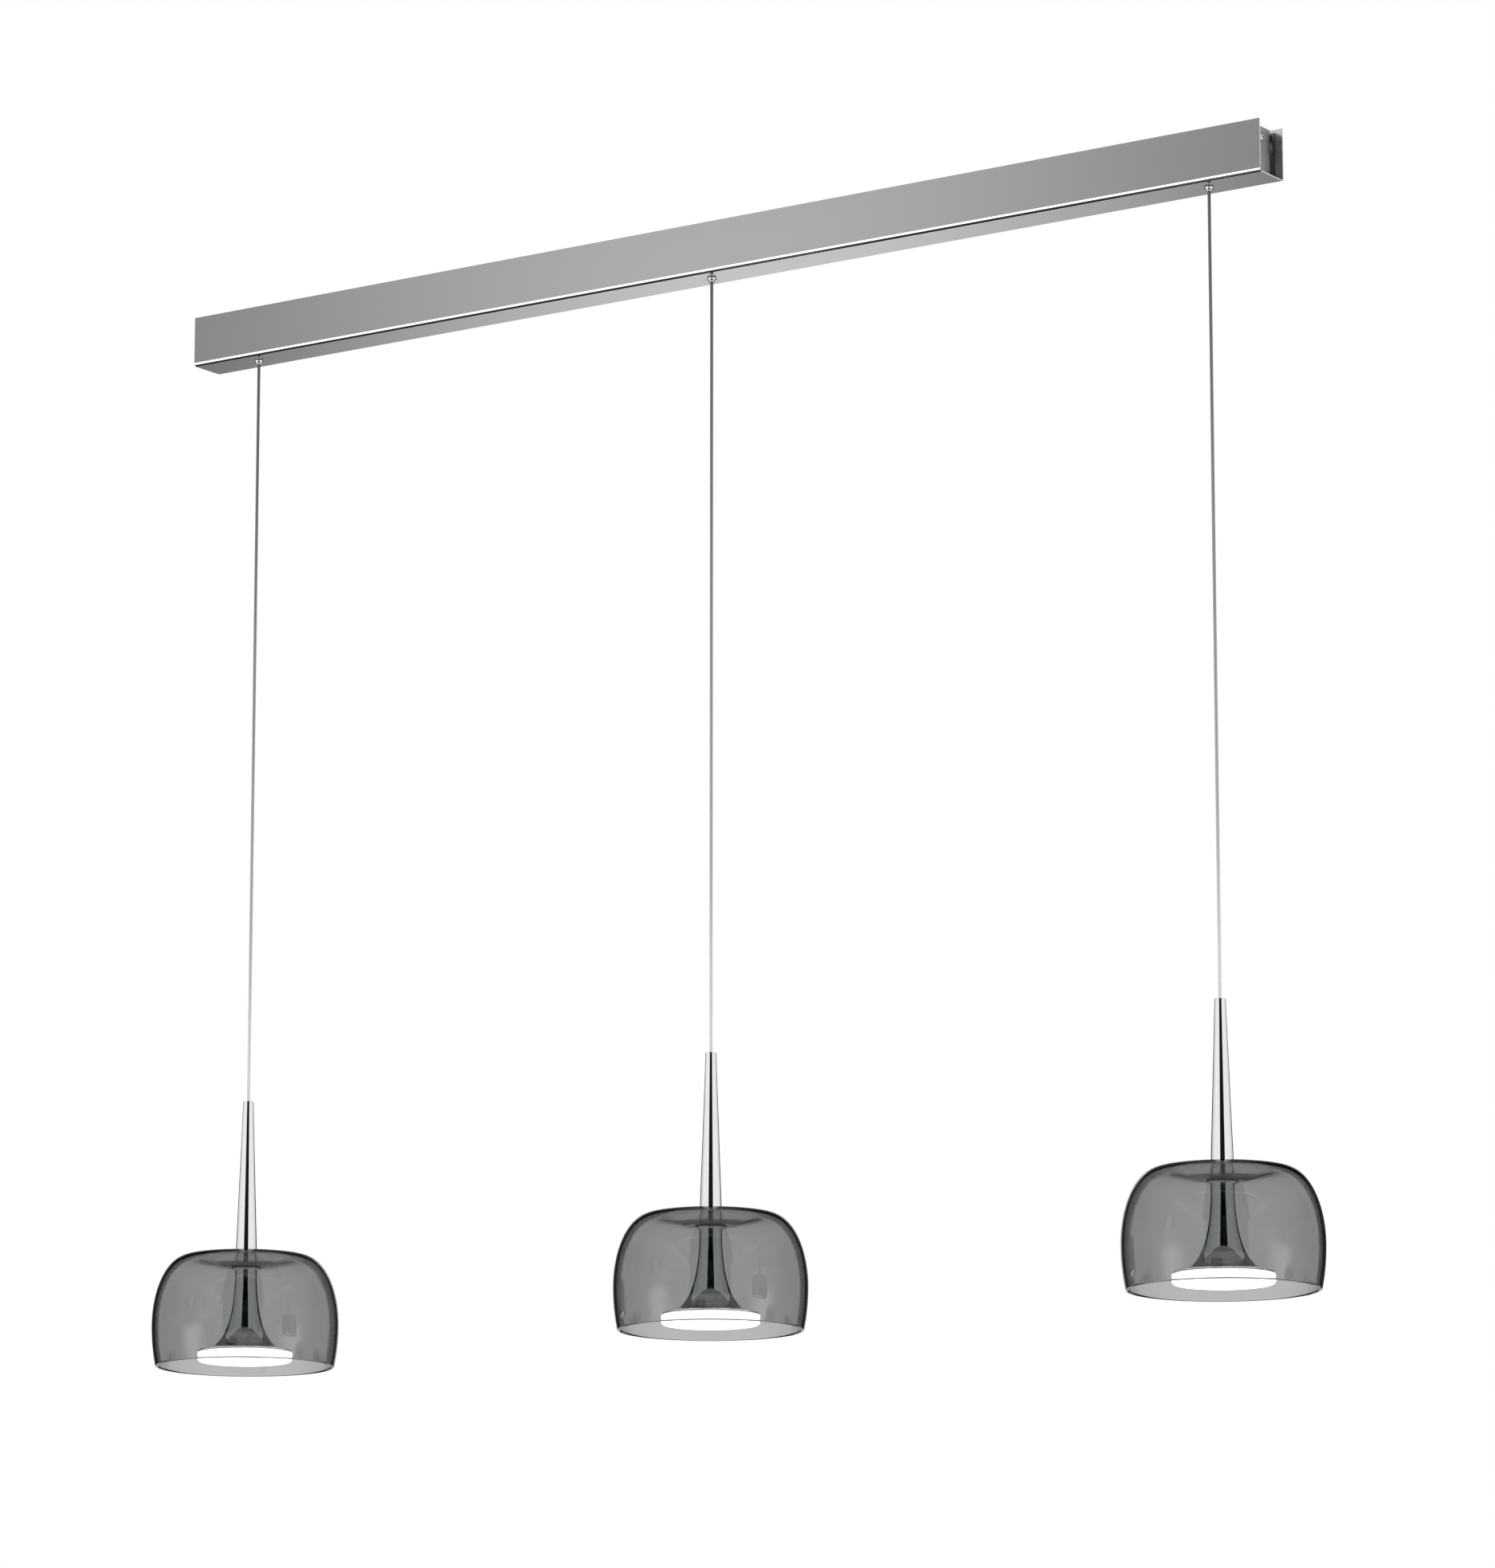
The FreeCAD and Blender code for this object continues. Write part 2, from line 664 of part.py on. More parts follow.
def grip_cap(side, across):
    """Domed nut on the spigot, under the canopy."""
    seat = "-spigot_reach - thread_clearance"
    outline = (
        ("spigot_radius + thread_clearance", "0"), ("cap_radius", "0"),
        ("cap_radius", "-cap_height * 0.3"), ("cap_end_radius", "-cap_height"),
        ("grip_bore", "-cap_height"), ("grip_bore", seat),
        ("spigot_radius + thread_clearance", seat),
    )
    return place(turned(f"grip_cap_{side}", outline), across, "0", UNDERSIDE)


def grip_plunger(side, across):
    """Release plunger; its tip shows under the domed nut and is pushed up."""
    collar = "chamber_floor + running_gap"
    pocket = "guide_radius + pocket_clearance"
    pocket_top = "-pivot_depth + guide_up + pocket_headroom"
    outline = (
        (pocket, "-tip_reach"), ("tip_radius", "-tip_reach"),
        ("tip_radius", collar), ("collar_radius", collar),
        ("collar_radius", COLLAR_TOP), ("tip_radius", COLLAR_TOP),
        ("nose_radius", f"{COLLAR_TOP} + nose_height"),
        ("plunger_bore", f"{COLLAR_TOP} + nose_height"),
        ("plunger_bore", pocket_top), (pocket, pocket_top),
    )
    body = turned(f"grip_plunger_{side}", outline)
    mouth = ring_edge(size("tip_radius"), -size("tip_reach"))
    rounded(body, f"plunger_round_{side}", "tip_round", mouth)
    return place(body, across, "0", UNDERSIDE)


def grip_jaw(side, across):
    """Split collet that bites the cord."""
    bottom = f"{CHAMBER_TOP} - jaw_height"
    outline = (
        (CORD_BORE, bottom), ("jaw_radius", bottom),
        ("jaw_radius", CHAMBER_TOP), (CORD_BORE, CHAMBER_TOP),
    )
    body = turned(f"grip_jaw_{side}", outline)
    half = "jaw_slit / 2"
    far = "jaw_radius * 2"
    slit = (("0", f"-{half}"), (far, f"-{half}"), (far, half), ("0", half))
    cut_through(body, f"jaw_slit_{side}", "XY_Plane", outlines=[slit])
    return place(body, across, "0", UNDERSIDE)


def grip_spring(side, across):
    """Spring between the plunger's collar and the lid of the chamber."""
    bottom = f"{COLLAR_TOP} + thread_clearance"
    top = f"{CHAMBER_TOP} - thread_clearance"
    outline = (
        ("spring_inner", bottom), ("spring_outer", bottom),
        ("spring_outer", top), ("spring_inner", top),
    )
    return place(turned(f"grip_spring_{side}", outline), across, "0", UNDERSIDE)


def cord_guide(side, across):
    """Small ball guide in the plunger's mouth; its bore is narrowest in the middle."""
    radius = size("guide_radius")
    up = size("guide_up")
    down = size("guide_down")
    bore = size("cord_radius") + size("cord_clearance")
    mouth_up = size("guide_mouth_up")
    mouth_down = size("guide_mouth_down")
    high = at(math.sqrt(radius ** 2 - up ** 2), up)
    low = at(math.sqrt(radius ** 2 - down ** 2), -down)
    edges = [
        line(at(mouth_up, up), high),
        Part.Arc(high, at(radius, 0), low).toShape(),
        line(low, at(mouth_down, -down)),
        line(at(mouth_down, -down), at(bore, 0)),
        line(at(bore, 0), at(mouth_up, up)),
    ]
    pivot = -(size("cover_height") + size("pivot_depth"))
    return shaped(f"cord_guide_{side}", spun(edges), pivot, across)


# ---------------------------------------------------------------- pendants


def cord(side, across):
    """Free stretch of the cord: ball guide to the bottom of the ferrule's bore."""
    end = f"{STEM_TOP} - stem_lid - bush_flange - ferrule_bore_depth"
    piece = doc.addObject("Part::Cylinder", f"cord_{side}")
    piece.Label = f"cord_{side}"
    bind(piece, "Radius", "cord_radius")
    bind(piece, "Height", f"{PIVOT} - ({end})")
    return place(piece, across, "0", end)


def stem(side, across):
    """Tapered chrome tube; its foot stands on the trumpet."""
    lid = "stem_length - stem_lid"
    foot = "stem_foot_radius"
    waist = "stem_waist_radius"
    outline = (
        (NIPPLE_HOLE, "0"), (foot, "0"), (foot, "stem_foot_height"),
        (waist, "stem_waist_height"), ("stem_top_radius", "stem_length"),
        ("bush_radius + cord_clearance", "stem_length"), ("bush_radius + cord_clearance", lid),
        ("stem_top_radius - stem_wall", lid), (f"{waist} - stem_wall", "stem_waist_height"),
        (f"{foot} - stem_wall", "stem_plug"), (NIPPLE_HOLE, "stem_plug"),
    )
    body = turned(f"stem_{side}", outline)
    top = ring_edge(size("stem_top_radius"), size("stem_length"))
    rounded(body, f"stem_round_{side}", "stem_round", top)
    return place(body, across, "0", STEM_FOOT)


def stem_bush(side, across):
    """Nylon bush that lines the stem's top hole, its flange under the lid."""
    low = "-stem_lid - bush_flange"
    flange = "stem_top_radius - stem_wall - cord_clearance"
    outline = (
        (CORD_BORE, low), (flange, low), (flange, "-stem_lid"),
        ("bush_radius", "-stem_lid"), ("bush_radius", "0"), (CORD_BORE, "0"),
    )
    return place(turned(f"stem_bush_{side}", outline), across, "0", STEM_TOP)


def cord_clamp(side, across):
    """Ferrule crimped on the cord's end; it bears on the bush and carries the pendant."""
    top = "-stem_lid - bush_flange"
    end = f"{top} - ferrule_bore_depth"
    outline = (
        ("0", f"{top} - ferrule_length"), ("ferrule_radius", f"{top} - ferrule_length"),
        ("ferrule_radius", top), (CORD_BORE, top), (CORD_BORE, end), ("0", end),
    )
    return place(turned(f"cord_clamp_{side}", outline), across, "0", STEM_TOP)


def lamp_lead(side, across):
    """Conductors from the ferrule straight down to the LED board."""
    piece = doc.addObject("Part::Cylinder", f"lamp_lead_{side}")
    piece.Label = f"lamp_lead_{side}"
    top = f"{STEM_TOP} - stem_lid - bush_flange - ferrule_length"
    bind(piece, "Radius", "conductor_radius")
    bind(piece, "Height", f"{top} - ({TRUMPET_END})")
    return place(piece, across, "0", TRUMPET_END)


def join_nipple(side, across):
    """Threaded tube that joins the stem and the trumpet."""
    outline = (
        ("nipple_bore", "-nipple_reach"), ("nipple_radius", "-nipple_reach"),
        ("nipple_radius", "nipple_reach"), ("nipple_bore", "nipple_reach"),
    )
    return place(turned(f"join_nipple_{side}", outline), across, "0", STEM_FOOT)


def seal_ring(side, across):
    """Silicone ring on the trumpet's flange; the glass rests on it."""
    inner = "stem_foot_radius + seal_clearance"
    outline = (
        (inner, "0"), ("seal_radius", "0"),
        ("seal_radius", "seal_height"), (inner, "seal_height"),
    )
    return place(turned(f"seal_ring_{side}", outline), across, "0", STEM_FOOT)


def trumpet(side, across):
    """Turned trumpet: flange on top, parabolic flare, hollow below its threaded plug."""
    seat = size("seat_radius")
    throat = size("throat_radius")
    flange = -size("seat_height")
    low = -size("trumpet_length")
    lip = size("lip_radius")
    lip_top = low + size("lip_height")
    plug = -size("trumpet_plug")
    thread = size("nipple_radius") + size("thread_clearance")
    hollow = size("hollow_radius")
    mouth = size("hollow_mouth")
    flare = Part.BezierCurve()
    flare.setPoles([at(throat, flange), at(throat, lip_top), at(lip, lip_top)])
    inside = Part.BezierCurve()
    inside.setPoles([at(hollow, plug), at(hollow, low), at(mouth, low)])
    edges = [
        line(at(thread, 0), at(seat, 0)),
        line(at(seat, 0), at(seat, flange)),
        line(at(seat, flange), at(throat, flange)),
        flare.toShape(),
        line(at(lip, lip_top), at(lip, low)),
        line(at(lip, low), at(mouth, low)),
        inside.toShape(),
        line(at(hollow, plug), at(thread, plug)),
        line(at(thread, plug), at(thread, 0)),
    ]
    foot = -(size("cover_height") + size("cord_drop") + size("stem_length"))
    return shaped(f"trumpet_{side}", spun(edges), foot, across)


def led_board(side, across):
    """Round board against the underside of the trumpet."""
    outline = (
        ("0", "-board_height"), ("board_radius", "-board_height"),
        ("board_radius", "0"), ("0", "0"),
    )
    return place(turned(f"led_board_{side}", outline), across, "0", TRUMPET_END)


def trim_ring(side, across):
    """Ring round the board; its spigot holds the diffuser."""
    inner = "board_radius + trim_clearance"
    low = "-trim_height - spigot_depth"
    outline = (
        (inner, "0"), (inner, "-trim_height"),
        (f"{SPIGOT_OUTER} - spigot_wall", "-trim_height"), (f"{SPIGOT_OUTER} - spigot_wall", low),
        (SPIGOT_OUTER, low), (SPIGOT_OUTER, "-trim_height"),
        ("trim_radius", "-trim_height"), ("trim_radius", "0"),
    )
    return place(turned(f"trim_ring_{side}", outline), across, "0", TRUMPET_END)


def diffuser(side, across):
    """Opal cup with a rounded lower edge, pushed on the trim ring's spigot."""
    inner = "diffuser_radius - diffuser_wall"
    floor = "diffuser_floor - diffuser_height"
    outline = (
        ("0", "-diffuser_height"), ("diffuser_radius", "-diffuser_height"),
        ("diffuser_radius", "0"), (inner, "0"), (inner, floor), ("0", floor),
    )
    body = turned(f"diffuser_{side}", outline)
    edge = ring_edge(size("diffuser_radius"), -size("diffuser_height"))
    rounded(body, f"diffuser_edge_{side}", "diffuser_round", edge)
    return place(body, across, "0", f"{TRUMPET_END} - trim_height")


def shade(side, across):
    """Blown glass bell: round rim, elliptic shoulder, dished top, flat seat round the neck."""
    glass = size("glass")
    belly = size("belly_radius")
    belly_height = size("belly_height")
    crown = size("crown_radius")
    top = size("shade_height")
    neck_top = top - size("dish_depth")
    neck = size("stem_foot_radius") + size("neck_clearance")
    flat = size("neck_flat")
    rim = size("rim_radius")
    sag = belly - rim
    sweep = (belly_height ** 2 + sag ** 2) / (2 * sag)
    rim_round = glass / 2

    def side_wall(inset, height):
        """Radius of the lower wall at that height, on an arc tangent to the belly."""
        return belly - sweep + math.sqrt((sweep - inset) ** 2 - (belly_height - height) ** 2)

    def lower_arc(inset):
        heights = (rim_round, (rim_round + belly_height) / 2, belly_height)
        return Part.Arc(*[at(side_wall(inset, height), height) for height in heights]).toShape()

    def shoulder(inset):
        high = at(crown, top - inset)
        wide = at(belly - inset, belly_height)
        oval = Part.Ellipse(high, wide, at(crown, belly_height))
        return Part.ArcOfEllipse(oval, 0, math.pi / 2).toShape()

    def dish(inset):
        curve = Part.BSplineCurve()
        level = vector(-1, 0, 0)
        ends = [at(crown, top - inset), at(flat, neck_top - inset)]
        curve.interpolate(Points=ends, InitialTangent=level, FinalTangent=level)
        return curve.toShape()

    outer_rim = at(side_wall(0, rim_round), rim_round)
    inner_rim = at(side_wall(glass, rim_round), rim_round)
    lowest = at((outer_rim.x + inner_rim.x) / 2, 0)
    edges = [
        lower_arc(0), shoulder(0), dish(0),
        line(at(flat, neck_top), at(neck, neck_top)),
        line(at(neck, neck_top), at(neck, neck_top - glass)),
        line(at(neck, neck_top - glass), at(flat, neck_top - glass)),
        dish(glass), shoulder(glass), lower_arc(glass),
        Part.Arc(inner_rim, lowest, outer_rim).toShape(),
    ]
    foot = -(size("cover_height") + size("cord_drop") + size("stem_length"))
    seat = foot + size("seal_height") + size("running_gap")
    return shaped(f"shade_{side}", spun(edges), seat - (neck_top - glass), across)


# ---------------------------------------------------------------- assembly

nodes = [
    canopy_cover(),
    end_plate("left", "-"),
    end_plate("right", ""),
    ceiling_bracket(),
    canopy_screws(),
    hung_case("led_driver", "driver_length", "driver_width", "driver_height", "-driver_offset"),
    mains_terminal(),
    driver_leads(),
    grouped("grip_caps", [grip_cap(side, across) for side, across in PENDANTS]),
    grouped("grip_jaws", [grip_jaw(side, across) for side, across in PENDANTS]),
]
TURNED_PIECES = (
    grip_body, grip_plunger, grip_spring, cord, stem, stem_bush, cord_clamp, lamp_lead,
    join_nipple, seal_ring, led_board, trim_ring, diffuser,
)
SHAPED_PIECES = (cord_guide, trumpet, shade)
for side, across in PENDANTS:
    for piece in TURNED_PIECES:
        nodes.append(piece(side, across))
for (side, across), sign in zip(PENDANTS, (-1, 0, 1)):
    for piece in SHAPED_PIECES:
        nodes.append(piece(side, sign * cord_spacing()))

doc.recompute()
for item in doc.Objects:
    if "Invalid" in item.State or "Error" in item.State:
        raise RuntimeError(item.Label + " failed")
for node in nodes:
    if node.Shape.isNull() or not node.Shape.isValid():
        raise RuntimeError(node.Label + " has no valid shape")
for node in nodes:
    node.Shape.exportStep(os.path.join("parts", node.Label + ".step"))
print(len(nodes), "nodes written")
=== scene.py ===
"""Linear pendant light for a kitchen island: a slim canopy, three cords, three smoked glass bells.

Metres, +Z up. The origin lies in the ceiling plane over the middle of the canopy, X runs along it.
"""

import math

import bmesh
import bpy
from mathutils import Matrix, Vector
from mathutils.geometry import interpolate_bezier


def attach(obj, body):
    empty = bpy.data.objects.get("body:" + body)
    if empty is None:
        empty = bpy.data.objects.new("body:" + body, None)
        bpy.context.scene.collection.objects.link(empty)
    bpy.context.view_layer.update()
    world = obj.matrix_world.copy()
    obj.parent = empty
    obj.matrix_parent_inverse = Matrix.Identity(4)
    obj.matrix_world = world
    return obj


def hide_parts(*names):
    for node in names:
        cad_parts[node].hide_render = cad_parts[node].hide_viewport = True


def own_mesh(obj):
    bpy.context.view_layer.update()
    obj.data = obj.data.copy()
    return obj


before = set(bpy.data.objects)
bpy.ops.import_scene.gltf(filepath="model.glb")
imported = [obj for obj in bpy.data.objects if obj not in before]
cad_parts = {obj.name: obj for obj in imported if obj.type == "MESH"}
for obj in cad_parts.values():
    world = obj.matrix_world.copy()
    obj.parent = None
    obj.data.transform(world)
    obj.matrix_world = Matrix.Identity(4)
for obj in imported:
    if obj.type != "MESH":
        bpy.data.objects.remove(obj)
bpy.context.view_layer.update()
scene = bpy.context.scene
MM = 0.001


# ---------------------------------------------------------------- camera
# A long lens, low and to the right of the light, tilted up at it: the underside of the
# canopy shows, and the pendants are seen almost from the side.

LENS = 156.6
CAMERA_PLACE = Vector((3.3752, -4.8672, -1.6730))
CAMERA_YAW = math.radians(34.429)
CAMERA_PITCH = math.radians(11.114)

camera = bpy.data.objects.new("camera", bpy.data.cameras.new("camera"))
scene.collection.objects.link(camera)
scene.camera = camera
camera.data.sensor_width = 36
camera.data.lens = LENS
camera.data.clip_end = 60
camera.location = CAMERA_PLACE
level_part = math.cos(CAMERA_PITCH)
looking = Vector((
    -math.sin(CAMERA_YAW) * level_part,
    math.cos(CAMERA_YAW) * level_part,
    math.sin(CAMERA_PITCH),
))
camera.rotation_mode = "QUATERNION"
camera.rotation_quaternion = looking.to_track_quat("-Z", "Y")


# ---------------------------------------------------------------- cords
# Each pendant hangs on its own supply cord: a silvery braid, which carries the weight, in a
# clear plastic jacket. It is pulled straight by the pendant and runs from the guide in the
# canopy's grip down to the ferrule crimped on its end inside the stem.

PENDANTS = {"left": -0.518, "centre": 0.0, "right": 0.518}
CORD_TOP = -49.45 * MM
CORD_FOOT = -760.0 * MM
CORD_RADIUS = 1.4 * MM
CORD_SETTLED = 17 * MM
BRAID_TURN = 17 * MM
BRAID_CARRIERS = 8
WIRE_DARK = 0.11
WIRE_BRIGHT = 0.95
# Painted shade at the top of the cord and painted light towards its foot.
PAINTED_SHADE_AT_TOP = 0.06
PAINTED_LIGHT_FROM = -570 * MM
PAINTED_LIGHT_AT_FOOT = 0.75


def add_node(tree, kind, inputs=None, **settings):
    """A shader node with its settings; an input is a number, a colour or another node's output."""
    node = tree.nodes.new("ShaderNode" + kind)
    for name, value in settings.items():
        setattr(node, name, value)
    for socket, value in (inputs or {}).items():
        if isinstance(value, bpy.types.NodeSocket):
            tree.links.new(value, node.inputs[socket])
        else:
            node.inputs[socket].default_value = value
    return node


def calculate(tree, operation, *values):
    """One sum, product or other step of arithmetic on outputs or numbers."""
    return add_node(tree, "Math", dict(enumerate(values)), operation=operation).outputs[0]


def ramp(tree, value, start, end, low=0.0, high=1.0):
    """Low before start, high after end, and a smooth step in between."""
    inputs = {"Value": value, "From Min": start, "From Max": end, "To Min": low, "To Max": high}
    return add_node(tree, "MapRange", inputs, interpolation_type="SMOOTHSTEP").outputs["Result"]


def blend_colours(tree, mask, first, second):
    inputs = {0: mask, 6: first, 7: second}
    return add_node(tree, "Mix", inputs, data_type="RGBA").outputs[2]


def grey(level, warmth=0.0):
    return (level * (1 + warmth), level, level * (1 - warmth), 1)


def new_material(name, **constants):
    """A material with its Principled shader; constants are set on the shader's own sockets."""
    material = bpy.data.materials.new(name)
    material.use_nodes = True
    shader = material.node_tree.nodes["Principled BSDF"]
    for socket, value in constants.items():
        shader.inputs[socket.replace("_", " ")].default_value = value
    return material, material.node_tree, shader


def feed(tree, shader, **outputs):
    for socket, output in outputs.items():
        tree.links.new(output, shader.inputs[socket.replace("_", " ")])


def bump(tree, height, strength, distance):
    inputs = {"Height": height, "Strength": strength, "Distance": distance}
    return add_node(tree, "Bump", inputs).outputs["Normal"]


def make_surface_group():
    """Uneven finish for any piece: a broad cloudiness and a fine grain, stretched as asked."""
    group = bpy.data.node_groups.new("surface_finish", "ShaderNodeTree")
    sockets = group.interface
    for name, kind, value in (
        ("Stretch", "NodeSocketVector", (1, 1, 1)),
        ("Cloud Scale", "NodeSocketFloat", 20),
        ("Grain Scale", "NodeSocketFloat", 600),
    ):
        sockets.new_socket(name, in_out="INPUT", socket_type=kind).default_value = value
    sockets.new_socket("Cloud", in_out="OUTPUT", socket_type="NodeSocketFloat")
    sockets.new_socket("Grain", in_out="OUTPUT", socket_type="NodeSocketFloat")
    given = group.nodes.new("NodeGroupInput").outputs
    place = add_node(group, "TexCoord").outputs["Object"]
    inputs = {0: place, 1: given["Stretch"]}
    stretched = add_node(group, "VectorMath", inputs, operation="MULTIPLY").outputs[0]
    result = group.nodes.new("NodeGroupOutput")
    for name, detail in (("Cloud", 3), ("Grain", 2)):
        inputs = {"Vector": stretched, "Scale": given[name + " Scale"], "Detail": detail}
        noise = add_node(group, "TexNoise", inputs)
        group.links.new(noise.outputs["Fac"], result.inputs[name])
    return group


surface_finish = make_surface_group()


def finish_of(tree, stretch=(1, 1, 1), cloud=20, grain=600):
    """The two outputs of the shared uneven finish: broad cloudiness and fine grain."""
    node = tree.nodes.new("ShaderNodeGroup")
    node.node_tree = surface_finish
    node.inputs["Stretch"].default_value = stretch
    node.inputs["Cloud Scale"].default_value = cloud
    node.inputs["Grain Scale"].default_value = grain
    return node.outputs["Cloud"], node.outputs["Grain"]


def make_cord_material():
    """Eight crossing carriers of tinned wire, seen through a glossy clear jacket.

    Its colour is painted darker at the canopy as painted shade and lighter just above the stem as
    painted light.
    """
    material, tree, shader = new_material(
        "braided_cord", Coat_Weight=1, Coat_Roughness=0.06, IOR=1.5, Metallic=0.75)
    place = add_node(tree, "SeparateXYZ", {0: add_node(tree, "TexCoord").outputs["Object"]})
    # The cords are evenly spaced, so a remainder gives the distance from the nearest one's axis.
    spacing = PENDANTS["right"]
    shifted = calculate(tree, "ADD", place.outputs["X"], 3.5 * spacing)
    across = calculate(tree, "SUBTRACT", calculate(tree, "MODULO", shifted, spacing), spacing / 2)
    angle = calculate(tree, "ARCTAN2", place.outputs["Y"], across)
    around = calculate(tree, "MULTIPLY", angle, BRAID_CARRIERS)
    turning = BRAID_CARRIERS * 2 * math.pi / BRAID_TURN
    along = calculate(tree, "MULTIPLY", place.outputs["Z"], turning)
    rising = calculate(tree, "SINE", calculate(tree, "ADD", around, along))
    falling = calculate(tree, "SINE", calculate(tree, "SUBTRACT", around, along))
    crossing = calculate(tree, "MAXIMUM", rising, falling)
    relief = ramp(tree, crossing, -0.2, 0.95)
    cloud, grain = finish_of(tree, cloud=60, grain=2500)
    wires = calculate(tree, "ADD", calculate(tree, "MULTIPLY", relief, 0.45),
                      calculate(tree, "MULTIPLY", grain, 0.55))
    # Painted light and shade along the cord: darker near the canopy, lighter just above the stem.
    painted_light = ramp(tree, place.outputs["Z"], PAINTED_LIGHT_FROM, CORD_FOOT, 0.0, PAINTED_LIGHT_AT_FOOT)
    painted_shade = ramp(tree, place.outputs["Z"], CORD_TOP, CORD_FOOT, PAINTED_SHADE_AT_TOP, 1.0)
    brightness = calculate(tree, "ADD", painted_shade, painted_light)
    wires_and_painted_light = calculate(tree, "MULTIPLY", wires, brightness)
    feed(
        tree, shader,
        Base_Color=blend_colours(tree, wires_and_painted_light, grey(WIRE_DARK), grey(WIRE_BRIGHT)),
        Roughness=ramp(tree, cloud, 0.3, 0.7, 0.30, 0.42),
        Normal=bump(tree, relief, 0.5, 0.2 * MM),
    )
    return material


def hanging_cord(side, across, material):
    """A round tube on a straight, taut route; its path is the curve's own line."""
    curve = bpy.data.curves.new(f"cord_{side}", "CURVE")
    curve.dimensions = "3D"
    heights = (CORD_TOP, CORD_TOP - CORD_SETTLED, CORD_FOOT + CORD_SETTLED, CORD_FOOT)
    spline = curve.splines.new("NURBS")
    spline.points.add(len(heights) - 1)
    for point, height in zip(spline.points, heights):
        point.co = (across, 0, height, 1)
    spline.order_u = 3
    spline.use_endpoint_u = True
    carrier = bpy.data.objects.new(f"cord_route_{side}", curve)
    route = bpy.data.meshes.new_from_object(carrier)
    curve.bevel_depth = CORD_RADIUS
    curve.bevel_resolution = 6
    curve.use_fill_caps = True
    mesh = bpy.data.meshes.new_from_object(carrier)
    bpy.data.objects.remove(carrier)
    mesh.shade_smooth()
    mesh.materials.clear()
    mesh.materials.append(material)
    tube = bpy.data.objects.new(f"braided_cord_{side}", mesh)
    scene.collection.objects.link(tube)
    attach(tube, f"hanging_cord_{side}")
    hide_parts(f"cord_{side}")
    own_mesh(tube)


def dress(material, *nodes):
    """Gives CAD nodes that stay in view their material."""
    for node in nodes:
        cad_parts[node].data.materials[0] = material


cord_material = make_cord_material()
for side, across in PENDANTS.items():
    hanging_cord(side, across, cord_material)
dress(cord_material, "driver_leads")


# ---------------------------------------------------------------- canopy cover
# One long sheet of steel, folded to a U on a press and nickel-plated to a soft mirror. The
# two lower bends and the cut rims have a lighter metal colour, a painted highlight. It hangs by
# its ends on the strip.

COVER_LENGTH = 1160 * MM
COVER_DEPTH = 40 * MM
COVER_HEIGHT = 47 * MM
COVER_SHEET = 1.2 * MM
COVER_BEND = 3.2 * MM
GRIP_HOLE = 3.55 * MM
PUNCH_DEPTH = 6 * MM
COVER_EDGE = 0.15 * MM
BEND_STRIP = 2 * MM
NICKEL = 0.30
# A lighter metal colour for the bends and cut rims: a painted highlight.
PAINTED_HIGHLIGHT_NICKEL = 0.80
INSIDE_NICKEL = 0.56


def make_nickel(name, level, roughness):
    """Plated sheet: faint drawing lines along the sheet and a cloudy soft mirror."""
    material, tree, shader = new_material(name, Metallic=1)
    cloud, grain = finish_of(tree, stretch=(0.06, 1, 1), cloud=26, grain=900)
    darker, lighter = grey(level * 0.97, 0.004), grey(level * 1.03, 0.004)
    feed(
        tree, shader,
        Base_Color=blend_colours(tree, cloud, darker, lighter),
        Roughness=ramp(tree, cloud, 0.3, 0.7, roughness * 0.85, roughness * 1.15),
        Normal=bump(tree, grain, 0.04, 0.05 * MM),
    )
    return material


def place_piece(name, shape, materials, body, slot, *replaced, sharp=35):
    """Turns a bmesh into a piece that rides on its body and stands for its CAD nodes."""
    mesh = bpy.data.meshes.new(name)
    shape.to_mesh(mesh)
    shape.free()
    mesh.shade_smooth()
    mesh.set_sharp_from_angle(angle=math.radians(sharp))
    for material in materials:
        mesh.materials.append(material)
    piece = bpy.data.objects.new(name, mesh)
    scene.collection.objects.link(piece)
    flats = piece.modifiers.new("flats", "WEIGHTED_NORMAL")
    flats.keep_sharp = True
    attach(piece, body)
    if replaced:
        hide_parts(*replaced)
    return piece


def wire_outline(corners, closed=True):
    """A bmesh with one outline in the XZ plane; a third number rounds that corner."""
    shape = bmesh.new()
    verts = [shape.verts.new((corner[0], 0, corner[1])) for corner in corners]
    pairs = zip(verts, verts[1:] + verts[:1]) if closed else zip(verts, verts[1:])
    for first, second in pairs:
        shape.edges.new((first, second))
    for vert, corner in zip(verts, corners):
        if len(corner) == 3:
            bmesh.ops.bevel(shape, geom=[vert], offset=corner[2], offset_type="OFFSET",
                            segments=5, profile=0.5, affect="VERTICES", material=-1)
    return shape


